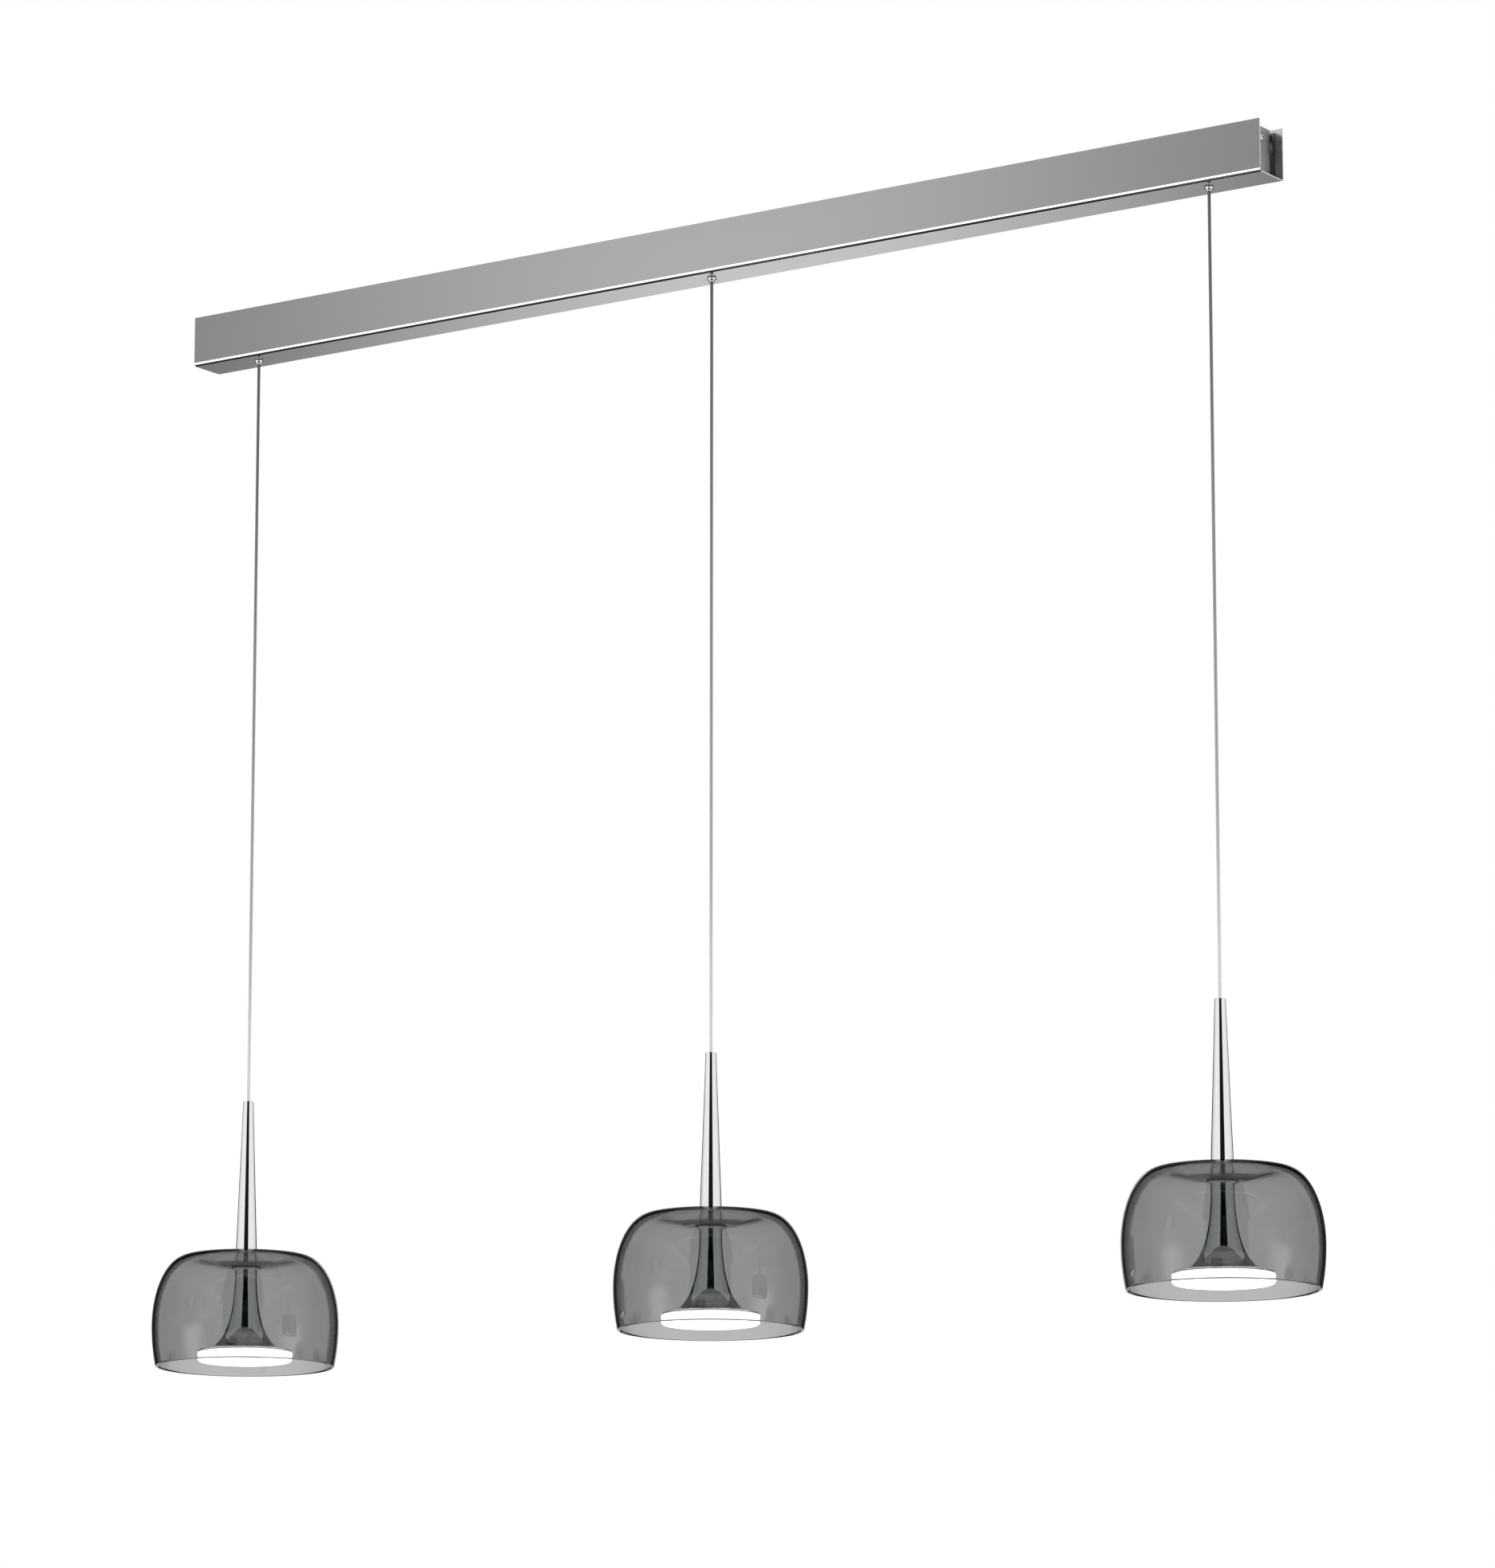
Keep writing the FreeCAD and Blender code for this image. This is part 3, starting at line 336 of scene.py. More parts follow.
def canopy_cover(materials):
    """The folded sheet. Its materials are for the outside, the bends and rims with a painted
    highlight, and the inside.
    """
    half = COVER_DEPTH / 2
    shape = bmesh.new()
    spots = ((-half, 0), (-half, -COVER_HEIGHT), (half, -COVER_HEIGHT), (half, 0))
    verts = [shape.verts.new((-COVER_LENGTH / 2, deep, height)) for deep, height in spots]
    for first, second in zip(verts, verts[1:]):
        shape.edges.new((first, second))
    bmesh.ops.bevel(shape, geom=verts[1:3], offset=COVER_BEND, offset_type="OFFSET",
                    segments=12, profile=0.5, affect="VERTICES", material=-1)
    swept = bmesh.ops.extrude_edge_only(shape, edges=shape.edges[:])
    moved = [item for item in swept["geom"] if isinstance(item, bmesh.types.BMVert)]
    bmesh.ops.translate(shape, verts=moved, vec=(COVER_LENGTH, 0, 0))
    bmesh.ops.recalc_face_normals(shape, faces=shape.faces)
    before = [face for face in shape.faces if face.calc_center_median().y < 0]
    front = max(before, key=lambda face: face.calc_area())
    if front.normal.y > 0:
        bmesh.ops.reverse_faces(shape, faces=shape.faces)
    for face in shape.faces:
        # The narrow faces of the bends get the painted highlight colour.
        face.material_index = 1 if face.calc_area() < BEND_STRIP * COVER_LENGTH else 0
    piece = place_piece("canopy_sheet", shape, materials, "canopy", "canopy_metal", "canopy_cover")
    piece.modifiers.clear()
    wall = piece.modifiers.new("wall", "SOLIDIFY")
    wall.thickness = COVER_SHEET
    wall.offset = -1
    wall.use_even_offset = True
    # The cut rims get the painted highlight colour too.
    wall.material_offset_rim = 1
    wall.material_offset = 2
    punch_shape = bmesh.new()
    for across in PENDANTS.values():
        made = bmesh.ops.create_cone(punch_shape, cap_ends=True, segments=48, radius1=GRIP_HOLE,
                                     radius2=GRIP_HOLE, depth=PUNCH_DEPTH)
        bmesh.ops.translate(punch_shape, verts=made["verts"], vec=(across, 0, -COVER_HEIGHT))
    punch_mesh = bpy.data.meshes.new("punch")
    punch_shape.to_mesh(punch_mesh)
    punch_shape.free()
    punch = bpy.data.objects.new("punch", punch_mesh)
    scene.collection.objects.link(punch)
    holes = piece.modifiers.new("holes", "BOOLEAN")
    holes.operation = "DIFFERENCE"
    holes.solver = "EXACT"
    holes.object = punch
    edge = piece.modifiers.new("edge", "BEVEL")
    edge.width = COVER_EDGE
    edge.segments = 2
    edge.limit_method = "ANGLE"
    edge.angle_limit = math.radians(50)
    flats = piece.modifiers.new("flats", "WEIGHTED_NORMAL")
    flats.weight = 100
    flats.keep_sharp = True
    bpy.context.view_layer.update()
    ready = piece.evaluated_get(bpy.context.evaluated_depsgraph_get())
    finished = bpy.data.meshes.new_from_object(ready)
    piece.modifiers.clear()
    piece.data = finished
    bpy.data.objects.remove(punch)


nickel = make_nickel("nickel_sheet", NICKEL, 0.09)
nickel_painted_highlight = make_nickel("painted_highlight_edge", PAINTED_HIGHLIGHT_NICKEL, 0.12)
nickel_inside = make_nickel("inside_sheet", INSIDE_NICKEL, 0.22)
canopy_cover((nickel, nickel_painted_highlight, nickel_inside))


# ---------------------------------------------------------------- inside the canopy
# A zinc-plated strip is screwed to the ceiling; its ends are bent down and hold the cover's
# two end plates. A driver in a pale case and a nylon terminal block hang under the strip.

ZINC = 0.55
PLATE_STEEL = 0.36
CASE_PLASTIC = 0.82
TERMINAL_NYLON = 0.78


def make_steel(name, level, roughness, warmth=0.0, stretch=(1, 1, 1)):
    """Plain plated or turned metal with a cloudy, slightly uneven surface."""
    material, tree, shader = new_material(name, Metallic=1)
    cloud, grain = finish_of(tree, stretch=stretch, cloud=45, grain=1400)
    darker, lighter = grey(level * 0.85, warmth), grey(level * 1.1, warmth)
    feed(
        tree, shader,
        Base_Color=blend_colours(tree, cloud, darker, lighter),
        Roughness=ramp(tree, cloud, 0.3, 0.7, roughness * 0.8, roughness * 1.2),
        Normal=bump(tree, grain, 0.08, 0.05 * MM),
    )
    return material


def make_plastic(name, colour, roughness):
    """Moulded plastic or rubber: fine spark-eroded texture and slight cloudiness."""
    material, tree, shader = new_material(name, IOR=1.5)
    cloud, grain = finish_of(tree, cloud=30, grain=1800)
    darker = tuple(channel * 0.92 for channel in colour[:3]) + (1,)
    feed(
        tree, shader,
        Base_Color=blend_colours(tree, cloud, darker, colour),
        Roughness=ramp(tree, cloud, 0.3, 0.7, roughness * 0.85, roughness * 1.15),
        Normal=bump(tree, grain, 0.2, 0.08 * MM),
    )
    return material


zinc = make_steel("zinc_plate", ZINC, 0.32, stretch=(0.3, 1, 1))
plate_steel = make_steel("end_plate_steel", PLATE_STEEL, 0.5)
dress(zinc, "ceiling_bracket", "canopy_screws")
dress(plate_steel, "end_plate_left", "end_plate_right")
dress(make_plastic("driver_plastic", grey(CASE_PLASTIC, 0.01), 0.5), "led_driver")
dress(make_plastic("terminal_nylon", grey(TERMINAL_NYLON, 0.03), 0.4), "mains_terminal")


# ---------------------------------------------------------------- cord grips
# Turned brass grip on the canopy's floor, held by a domed chrome nut below. A collet inside
# bites the cord; pushing up the chrome plunger frees it, and a spring pushes it back.

CHROME = 0.83
BRASS = 0.55
SPRING_STEEL = 0.42
NATURAL_NYLON = 0.70
CAP_TOP_RADIUS = 4.2 * MM
CAP_END_RADIUS = 3.5 * MM
CAP_HEIGHT = 2.1 * MM
CAP_BORE = 2.9 * MM
CAP_THREAD = 3.45 * MM
CAP_SEAT = 1.4 * MM


def make_chrome(name, level, roughness, coolness=0.0):
    """Bright plate: almost a mirror, with the faint unevenness of polishing."""
    material, tree, shader = new_material(name, Metallic=1)
    cloud, grain = finish_of(tree, cloud=35, grain=900)
    darker, lighter = grey(level * 0.97, -coolness), grey(level, -coolness)
    feed(
        tree, shader,
        Base_Color=blend_colours(tree, cloud, darker, lighter),
        Roughness=ramp(tree, cloud, 0.3, 0.7, roughness * 0.7, roughness * 1.3),
        Normal=bump(tree, grain, 0.01, 0.02 * MM),
    )
    return material


def spun(shape, across, height, steps=96):
    """Spins the outline round the pendant's axis and moves it to its height."""
    bmesh.ops.spin(shape, geom=shape.verts[:] + shape.edges[:], cent=(0, 0, 0), axis=(0, 0, 1),
                   angle=2 * math.pi, steps=steps, use_merge=True)
    bmesh.ops.remove_doubles(shape, verts=shape.verts, dist=1e-6)
    bmesh.ops.recalc_face_normals(shape, faces=shape.faces)
    bmesh.ops.translate(shape, verts=shape.verts, vec=(across, 0, height))
    return shape


def joined(shapes):
    """Several bmeshes as one."""
    whole = bmesh.new()
    for shape in shapes:
        carrier = bpy.data.meshes.new("carrier")
        shape.to_mesh(carrier)
        shape.free()
        whole.from_mesh(carrier)
        bpy.data.meshes.remove(carrier)
    return whole


def domed_nut(across):
    corners = (
        (CAP_THREAD, 0), (CAP_TOP_RADIUS, 0, 0.08 * MM),
        (CAP_TOP_RADIUS, -0.3 * CAP_HEIGHT, 0.3 * MM), (CAP_END_RADIUS, -CAP_HEIGHT, 0.25 * MM),
        (CAP_BORE, -CAP_HEIGHT), (CAP_BORE, -CAP_SEAT), (CAP_THREAD, -CAP_SEAT),
    )
    return spun(wire_outline(corners), across, -COVER_HEIGHT, steps=64)


chrome = make_chrome("chrome_plate", CHROME, 0.035)
brass = make_steel("turned_brass", BRASS, 0.28, warmth=0.32)
spring_steel = make_steel("spring_wire", SPRING_STEEL, 0.30)
nylon = make_plastic("natural_nylon", grey(NATURAL_NYLON, 0.03), 0.4)
place_piece("domed_nuts", joined([domed_nut(across) for across in PENDANTS.values()]),
            [chrome], "canopy", "chrome", "grip_caps")
dress(brass, "grip_jaws")
for side in PENDANTS:
    dress(chrome, f"grip_plunger_{side}")
    dress(brass, f"grip_body_{side}")
    dress(spring_steel, f"grip_spring_{side}")
    dress(nylon, f"cord_guide_{side}")


# ---------------------------------------------------------------- stems
# Tapered tube, spun from brass, polished and chromed. Its foot is nearly straight and stands
# on the trumpet; a nylon bush lines the small hole in its flat top, where the cord goes in.

STEM_FOOT = -904.5 * MM
STEM_LENGTH = 154.5 * MM
STEM_OUTLINE = (
    (5.05 * MM, 0), (9.75 * MM, 0, 0.15 * MM), (9.75 * MM, 15 * MM, 13 * MM),
    (6.7 * MM, 94.5 * MM, 40 * MM), (4.8 * MM, STEM_LENGTH, 0.45 * MM),
    (2.65 * MM, STEM_LENGTH, 0.12 * MM), (2.65 * MM, 151.5 * MM), (3.4 * MM, 151.5 * MM),
    (5.3 * MM, 94.5 * MM), (8.35 * MM, 14 * MM), (5.05 * MM, 14 * MM),
)

for side, across in PENDANTS.items():
    place_piece(f"stem_tube_{side}", spun(wire_outline(STEM_OUTLINE), across, STEM_FOOT),
                [chrome], f"pendant_{side}", "chrome", f"stem_{side}")
    dress(nylon, f"stem_bush_{side}")
    dress(brass, f"cord_clamp_{side}", f"join_nipple_{side}")
    dress(cord_material, f"lamp_lead_{side}")


# ---------------------------------------------------------------- glass bells
# Mouth-blown bell of smoked clear glass, 3 mm thick, open below. Its top is dished and has a
# ground hole; it is threaded over the stem and rests on a dark silicone ring.

GLASS = 3 * MM
SHADE_RIM = -994.8 * MM
BELLY_RADIUS = 85.5 * MM
BELLY_HEIGHT = 38 * MM
WALL_SWEEP = 187.08 * MM
CROWN_RADIUS = 53 * MM
SHADE_HEIGHT = 102.1 * MM
DISH_FLAT = 15 * MM
DISH_DEPTH = 7.5 * MM
NECK_HOLE = 10.4 * MM
NECK_EDGE = 0.3 * MM
RIM_ROUND = 1.5 * MM
RIM_SUPPORT = 0.06
WALL_STEPS = 10
CROWN_STEPS = 32
DISH_POINTS = 20
DISH_HANDLE = 0.3991
RIM_STEPS = 8
SILICONE = 0.035
SMOKE_SURFACE = 0.90
SMOKE_COLOUR = (0.372, 0.388, 0.380, 1)
SMOKE_DENSITY = 310


def make_smoked_glass():
    """Grey glass: part of the tint on the surface, part in the depth, so that edges go dark."""
    material, tree, shader = new_material(
        "smoked_glass", Transmission_Weight=1, IOR=1.5, Roughness=0.0, Metallic=0)
    cloud, grain = finish_of(tree, stretch=(1, 1, 0.5), cloud=9, grain=60)
    darker, lighter = grey(SMOKE_SURFACE * 0.985), grey(SMOKE_SURFACE * 1.015)
    feed(
        tree, shader,
        Base_Color=blend_colours(tree, cloud, darker, lighter),
        Normal=bump(tree, grain, 0.02, 0.1 * MM),
    )
    inputs = {"Color": SMOKE_COLOUR, "Density": SMOKE_DENSITY}
    depth = add_node(tree, "VolumeAbsorption", inputs)
    tree.links.new(depth.outputs["Volume"], tree.nodes["Material Output"].inputs["Volume"])
    return material


def bell_side(inset):
    """One face of the glass, from the rim over the belly and the crown down into the dish."""
    points = []
    for step in (0, RIM_SUPPORT, *range(1, WALL_STEPS)):
        height = RIM_ROUND + (BELLY_HEIGHT - RIM_ROUND) * step / WALL_STEPS
        drop = BELLY_HEIGHT - height
        radius = BELLY_RADIUS - WALL_SWEEP + math.sqrt((WALL_SWEEP - inset) ** 2 - drop ** 2)
        points.append((radius, height))
    for step in range(CROWN_STEPS + 1):
        turn = math.pi / 2 * step / CROWN_STEPS
        wide = BELLY_RADIUS - CROWN_RADIUS - inset
        tall = SHADE_HEIGHT - BELLY_HEIGHT - inset
        points.append((CROWN_RADIUS + wide * math.cos(turn), BELLY_HEIGHT + tall * math.sin(turn)))
    top = SHADE_HEIGHT - inset
    low = top - DISH_DEPTH
    handle = (CROWN_RADIUS - DISH_FLAT) * DISH_HANDLE
    curve = interpolate_bezier(
        Vector((CROWN_RADIUS, top)), Vector((CROWN_RADIUS - handle, top)),
        Vector((DISH_FLAT + handle, low)), Vector((DISH_FLAT, low)), DISH_POINTS)
    points += [tuple(point)[:2] for point in curve[1:]]
    points.append((NECK_HOLE, low))
    return points


def glass_bell(across):
    outer = bell_side(0)
    inner = bell_side(GLASS)
    middle = (outer[0][0] + inner[0][0]) / 2
    rim = []
    for step in range(1, RIM_STEPS):
        turn = math.pi * step / RIM_STEPS
        rim.append((middle - RIM_ROUND * math.cos(turn), RIM_ROUND - RIM_ROUND * math.sin(turn)))
    neck_top = outer[-1] + (NECK_EDGE,)
    neck_low = inner[-1] + (NECK_EDGE,)
    corners = outer[:-1] + [neck_top, neck_low] + inner[-2::-1] + rim
    return spun(wire_outline(corners), across, SHADE_RIM, steps=128)


SEAL_OUTLINE = (
    (9.95 * MM, 0, 0.3 * MM), (13.6 * MM, 0, 0.45 * MM),
    (13.6 * MM, 1.2 * MM, 0.45 * MM), (9.95 * MM, 1.2 * MM, 0.3 * MM),
)

smoked_glass = make_smoked_glass()
silicone = make_plastic("dark_silicone", grey(SILICONE), 0.45)
for side, across in PENDANTS.items():
    place_piece(f"glass_bell_{side}", glass_bell(across), [smoked_glass],
                f"glass_{side}", "smoked_glass", f"shade_{side}", sharp=60)
    place_piece(f"silicone_ring_{side}", spun(wire_outline(SEAL_OUTLINE), across, STEM_FOOT),
                [silicone], f"pendant_{side}", "silicone", f"seal_ring_{side}")


# ---------------------------------------------------------------- trumpets
# Turned aluminium, chromed: a flange that carries the glass, a slim throat and a wide flare
# like the bell of a trumpet. It draws the heat off the lamp under its lip.

SEAT_RADIUS = 13.2 * MM
SEAT_HEIGHT = 1.5 * MM
SEAT_EDGE = 0.6 * MM
THROAT_RADIUS = 9.8 * MM
LIP_RADIUS = 42 * MM
LIP_HEIGHT = 0.8 * MM
TRUMPET_LENGTH = 75.7 * MM
TRUMPET_BORE = 5.05 * MM
TRUMPET_EDGE = 0.2 * MM
HOLLOW_MOUTH = 27 * MM
HOLLOW_THROAT = 8 * MM
HOLLOW_TOP = -14 * MM
TRUMPET_CHROME = 0.80


def quarter_flare(start, corner, end, count):
    """A parabola from start to end that heads for the corner at both ends."""
    first, turn, last = Vector(start), Vector(corner), Vector(end)
    curve = interpolate_bezier(first, first.lerp(turn, 2 / 3), last.lerp(turn, 2 / 3), last, count)
    return [tuple(point)[:2] for point in curve]


def trumpet_outline():
    lip_top = LIP_HEIGHT - TRUMPET_LENGTH
    flare = quarter_flare((THROAT_RADIUS, -SEAT_HEIGHT), (THROAT_RADIUS, lip_top),
                          (LIP_RADIUS, lip_top), 40)
    hollow = quarter_flare((HOLLOW_MOUTH, -TRUMPET_LENGTH), (HOLLOW_THROAT, -TRUMPET_LENGTH),
                           (HOLLOW_THROAT, HOLLOW_TOP), 20)
    return [
        (TRUMPET_BORE, 0), (SEAT_RADIUS, 0, TRUMPET_EDGE),
        (SEAT_RADIUS, -SEAT_EDGE, TRUMPET_EDGE), (THROAT_RADIUS + TRUMPET_EDGE, -SEAT_HEIGHT),
        *flare[1:-1], flare[-1] + (TRUMPET_EDGE,), (LIP_RADIUS, -TRUMPET_LENGTH, TRUMPET_EDGE),
        *hollow, (TRUMPET_BORE, HOLLOW_TOP),
    ]


trumpet_chrome = make_chrome("trumpet_chrome", TRUMPET_CHROME, 0.05, coolness=0.03)
for side, across in PENDANTS.items():
    place_piece(f"trumpet_horn_{side}", spun(wire_outline(trumpet_outline()), across, STEM_FOOT),
                [trumpet_chrome], f"pendant_{side}", "chrome", f"trumpet_{side}")


# ---------------------------------------------------------------- lamps
# An LED board sits flat under the trumpet. A clear acrylic ring round it carries the opal
# diffuser, a shallow moulded cup with a rounded edge that glows evenly.

TRUMPET_END = -980.2 * MM
TRIM_HEIGHT = 1.4 * MM
TRIM_OUTLINE = (
    (36.3 * MM, 0), (36.3 * MM, -TRIM_HEIGHT), (38.05 * MM, -TRIM_HEIGHT),
    (38.05 * MM, -3.9 * MM), (40.05 * MM, -3.9 * MM, 0.2 * MM), (40.05 * MM, -TRIM_HEIGHT),
    (42.3 * MM, -TRIM_HEIGHT, 0.3 * MM), (42.3 * MM, 0, 0.3 * MM),
)
DIFFUSER_RADIUS = 43.25 * MM
DIFFUSER_HEIGHT = 8.1 * MM
DIFFUSER_ROUND = 2.9 * MM
DIFFUSER_INNER = 40.15 * MM
DIFFUSER_FLOOR = 5.8 * MM
BOARD_MASK = 0.85
GLOW = 2.3


def make_opal():
    """Opal acrylic lit from behind: an even glow, hardly weaker where the moulding is thick."""
    material, tree, shader = new_material(
        "opal_acrylic", IOR=1.49, Emission_Strength=GLOW)
    cloud, grain = finish_of(tree, cloud=25, grain=1500)
    feed(
        tree, shader,
        Base_Color=blend_colours(tree, cloud, grey(0.88), grey(0.92)),
        Emission_Color=blend_colours(tree, cloud, grey(0.96, 0.01), grey(1.0, 0.01)),
        Roughness=ramp(tree, grain, 0.3, 0.7, 0.25, 0.35),
    )
    return material


def make_clear_acrylic():
    """Clear moulded acrylic with fine turning marks."""
    material, tree, shader = new_material(
        "clear_acrylic", Transmission_Weight=1, IOR=1.49, Metallic=0)
    cloud, grain = finish_of(tree, stretch=(1, 1, 6), cloud=40, grain=700)
    feed(
        tree, shader,
        Base_Color=blend_colours(tree, cloud, grey(0.93), grey(0.98)),
        Roughness=ramp(tree, grain, 0.3, 0.7, 0.02, 0.06),
    )
    return material


def opal_cup(across):
    corners = (
        (0, -DIFFUSER_HEIGHT), (DIFFUSER_RADIUS, -DIFFUSER_HEIGHT, DIFFUSER_ROUND),
        (DIFFUSER_RADIUS, 0, 0.4 * MM), (DIFFUSER_INNER, 0, 0.3 * MM),
        (DIFFUSER_INNER, -DIFFUSER_FLOOR), (0, -DIFFUSER_FLOOR),
    )
    return spun(wire_outline(corners, closed=False), across, TRUMPET_END - TRIM_HEIGHT)


opal = make_opal()
acrylic = make_clear_acrylic()
board = make_plastic("board_mask", grey(BOARD_MASK), 0.35)
for side, across in PENDANTS.items():
    place_piece(f"acrylic_ring_{side}", spun(wire_outline(TRIM_OUTLINE), across, TRUMPET_END),
                [acrylic], f"pendant_{side}", "clear_trim", f"trim_ring_{side}")
    place_piece(f"opal_diffuser_{side}", opal_cup(across), [opal],
                f"pendant_{side}", "opal", f"diffuser_{side}")
    dress(board, f"led_board_{side}")


# ---------------------------------------------------------------- studio
# A pale floor well below the light, a white surround with soft boxes and dark flags that only
# reflections see, and soft lamps from the front, the side and above.

FLOOR_LEVEL = -2.45
FLOOR_REACH = 9.0
FLOOR_FADES_FROM = 1.5
SURROUND_LEVEL = 0.78
ANY_BELOW = -2
ANY_ABOVE = 2


def studio_floor():
    shape = bmesh.new()
    bmesh.ops.create_grid(shape, x_segments=1, y_segments=1, size=FLOOR_REACH)
    bmesh.ops.translate(shape, verts=shape.verts, vec=(0, 0, FLOOR_LEVEL))
    mesh = bpy.data.meshes.new("floor")
    shape.to_mesh(mesh)
    shape.free()
    material, tree, shader = new_material("floor", Roughness=0.9)
    place = add_node(tree, "TexCoord").outputs["Object"]
    flat = add_node(tree, "VectorMath", {0: place, 1: (1, 1, 0)}, operation="MULTIPLY")
    reach = add_node(tree, "VectorMath", {0: flat.outputs[0]}, operation="LENGTH").outputs["Value"]
    fading = ramp(tree, reach, FLOOR_FADES_FROM, FLOOR_REACH - 0.5)
    below = add_node(tree, "NewGeometry").outputs["Backfacing"]
    hidden = calculate(tree, "MAXIMUM", fading, below)
    cloud = finish_of(tree, cloud=2, grain=40)[0]
    feed(tree, shader, Base_Color=blend_colours(tree, cloud, grey(0.90), grey(0.93)))
    clear = add_node(tree, "BsdfTransparent").outputs[0]
    mixed = add_node(tree, "MixShader", {0: hidden, 1: shader.outputs[0], 2: clear})
    tree.links.new(mixed.outputs[0], tree.nodes["Material Output"].inputs["Surface"])
    mesh.materials.append(material)
    floor = bpy.data.objects.new("floor", mesh)
    scene.collection.objects.link(floor)
    floor.visible_glossy = False


def studio_surround():
    """White for the camera and one plain level for matt surfaces; reflections see more.

    They see the same white with soft boxes and dark flags, which are fixed in the room and were
    placed to match the photograph's view. facing is 1 straight towards its camera and -1
    straight behind the light, aside is 1 to the camera's right, and height is 1 overhead. Each
    zone has its brightness against the plain white, and the directions it fills.
    """
    world = bpy.data.worlds.new("surround")
    world.use_nodes = True
    scene.world = world
    tree = world.node_tree
    direction = add_node(tree, "TexCoord").outputs["Generated"]
    height = add_node(tree, "SeparateXYZ", {0: direction}).outputs["Z"]
    level = add_node(tree, "VectorMath", {0: direction, 1: (1, 1, 0)}, operation="MULTIPLY")
    level = add_node(tree, "VectorMath", {0: level.outputs[0]}, operation="NORMALIZE").outputs[0]
    toward = (math.sin(CAMERA_YAW), -math.cos(CAMERA_YAW), 0)
    beside = (math.cos(CAMERA_YAW), math.sin(CAMERA_YAW), 0)
    facing = add_node(tree, "VectorMath", {0: level, 1: toward}, operation="DOT_PRODUCT")
    facing = facing.outputs["Value"]
    aside = add_node(tree, "VectorMath", {0: level, 1: beside}, operation="DOT_PRODUCT")
    aside = aside.outputs["Value"]
    turn = add_node(tree, "SeparateXYZ", {0: level}).outputs
    turn = calculate(tree, "ARCTAN2", turn["X"], calculate(tree, "MULTIPLY", turn["Y"], -1.0))
    strips = calculate(tree, "SINE", calculate(tree, "MULTIPLY", turn, 4.0))

    def within(value, low, high, soft):
        rise = ramp(tree, value, low - soft, low + soft)
        fall = ramp(tree, value, high + soft, high - soft)
        return calculate(tree, "MULTIPLY", rise, fall)

    def around(value, centre, reach):
        distance = calculate(tree, "ABSOLUTE", calculate(tree, "SUBTRACT", value, centre))
        return ramp(tree, distance, 0.0, reach, 1.0, 0.0)

    left = ramp(tree, aside, 0.02, -0.02)
    zones = {
        "dimmer half behind": (0.80, within(facing, ANY_BELOW, -0.10, 0.25)),
        "dim ceiling": (0.42, within(height, 0.79, ANY_ABOVE, 0.02)),
        "flag above the camera": (
            0.01, within(facing, 0.913, ANY_ABOVE, 0.01), within(height, -0.05, 0.79, 0.02)),
        "wider flag higher above it": (
            0.03, within(facing, 0.89, ANY_ABOVE, 0.015), within(height, 0.27, 0.79, 0.02)),
        "flag below the camera": (
            0.03, within(facing, 0.78, ANY_ABOVE, 0.03), within(height, -0.82, -0.55, 0.02)),
        "flags behind, beside the middle": (
            0.05, within(facing, -0.972, -0.66, 0.02), within(height, -0.15, 0.79, 0.03)),
        "flag high behind": (
            0.08, within(facing, ANY_BELOW, -0.66, 0.02), within(height, 0.37, 0.79, 0.03)),
        "low soft boxes in front, at both sides": (
            2.80, around(facing, 0.42, 0.36), within(height, -0.40, 0.04, 0.06)),
        "dim round the front's highlight": (
            0.68, within(facing, 0.23, 0.48, 0.03), within(height, 0.20, 0.34, 0.02), left),
        "highlight on the canopy's front": (
            2.15, around(facing, 0.356, 0.098), within(height, 0.20, 0.34, 0.02), left),
        "dim round the underside's highlight": (
            0.42, within(aside, -0.14, 0.14, 0.02), within(facing, ANY_BELOW, -0.9, 0.01),
            within(height, -0.38, -0.16, 0.02)),
        "highlight on the canopy's underside": (
            3.70, around(aside, 0.005, 0.104), within(facing, ANY_BELOW, -0.9, 0.01),
            within(height, -0.38, -0.16, 0.02)),
        "white line along the bend": (
            1.60, within(facing, 0.10, 0.50, 0.04), within(height, -0.60, -0.38, 0.02), left),
        "dark band below that line": (
            0.12, within(facing, ANY_BELOW, -0.20, 0.08), within(height, -0.90, -0.40, 0.04)),
        "dark below": (0.12, within(height, ANY_BELOW, -0.64, 0.02)),
        "low flags behind, at both sides": (
            0.06, within(facing, -0.78, -0.22, 0.03), within(height, -0.36, -0.08, 0.03)),
        "four narrow dark strips, low all round": (
            0.25, within(strips, 0.90, ANY_ABOVE, 0.04), within(height, -0.55, -0.10, 0.04)),
    }
    light = 1.0
    for gain, *masks in zones.values():
        mask = masks[0]
        for other in masks[1:]:
            mask = calculate(tree, "MULTIPLY", mask, other)
        change = calculate(tree, "MULTIPLY_ADD", mask, gain - 1, 1.0)
        light = calculate(tree, "MULTIPLY", light, change)
    path = add_node(tree, "LightPath").outputs
    mirrored = calculate(tree, "MINIMUM", path["Glossy Depth"], 1.0)
    seen = add_node(tree, "Mix", {0: mirrored, 2: 1.0, 3: light}).outputs[0]
    strength = add_node(tree, "Mix", {0: path["Is Diffuse Ray"], 2: seen, 3: SURROUND_LEVEL})
    background = tree.nodes["Background"]
    background.inputs["Color"].default_value = grey(1.0)
    tree.links.new(strength.outputs[0], background.inputs["Strength"])


def soft_lamp(name, place, target, size, power):
    lamp = bpy.data.lights.new(name, "AREA")
    lamp.shape = "SQUARE"
    lamp.size = size
    lamp.energy = power
    holder = bpy.data.objects.new(name, lamp)
    scene.collection.objects.link(holder)
    holder.location = place
    holder.rotation_mode = "QUATERNION"
    holder.rotation_quaternion = (Vector(target) - Vector(place)).to_track_quat("-Z", "Y")
    holder.visible_glossy = False
    holder.visible_transmission = False


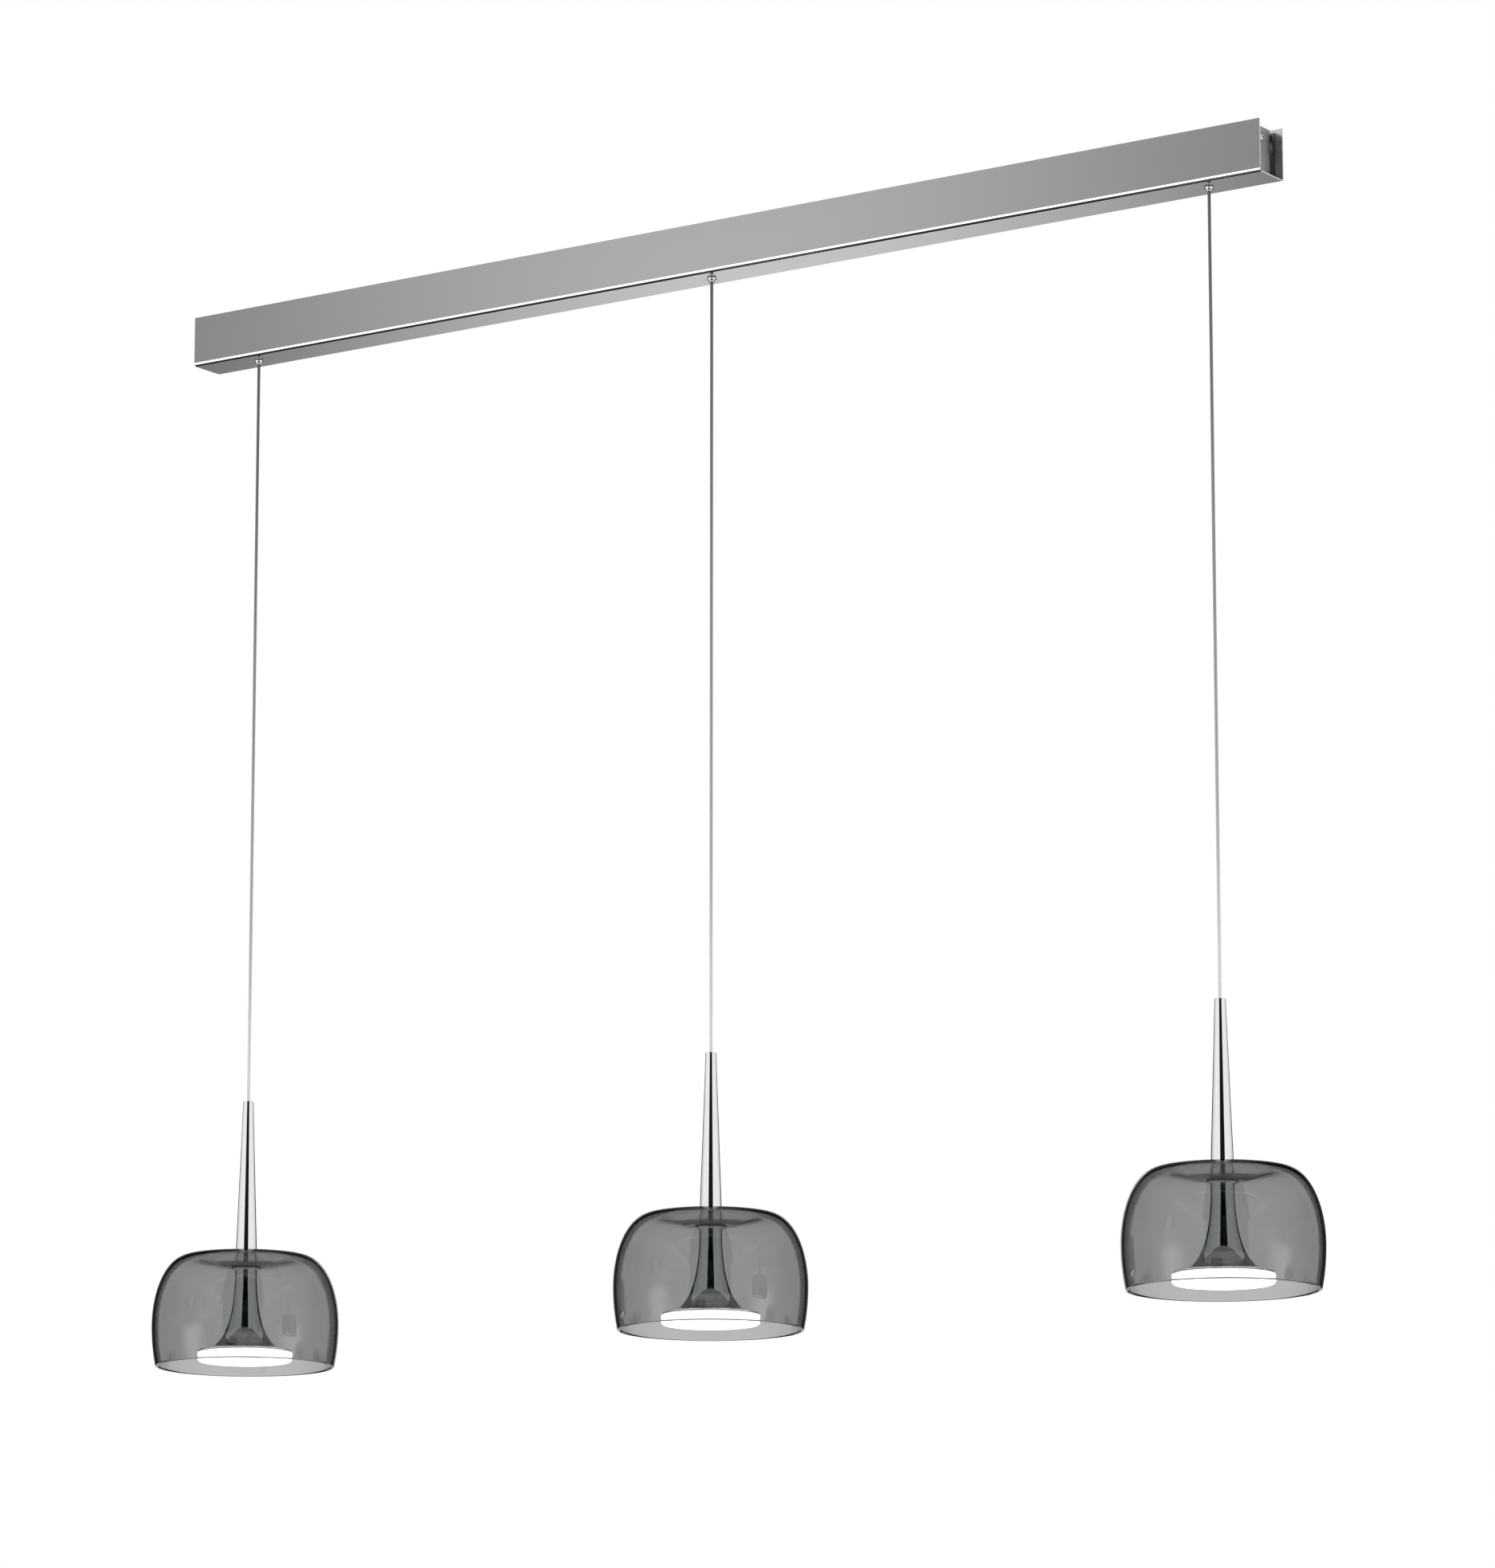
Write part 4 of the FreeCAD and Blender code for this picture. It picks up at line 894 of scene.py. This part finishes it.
studio_floor()
studio_surround()
soft_lamp("front_lamp", (-1.8, -3.4, 0.4), (0, 0, -0.5), 1.6, 22)
soft_lamp("side_lamp", (3.6, -0.6, -0.2), (0, 0, -0.6), 1.2, 12)
soft_lamp("top_lamp", (0, 0.3, 2.6), (0, 0, -0.5), 2.2, 20)
scene.view_settings.view_transform = "Standard"
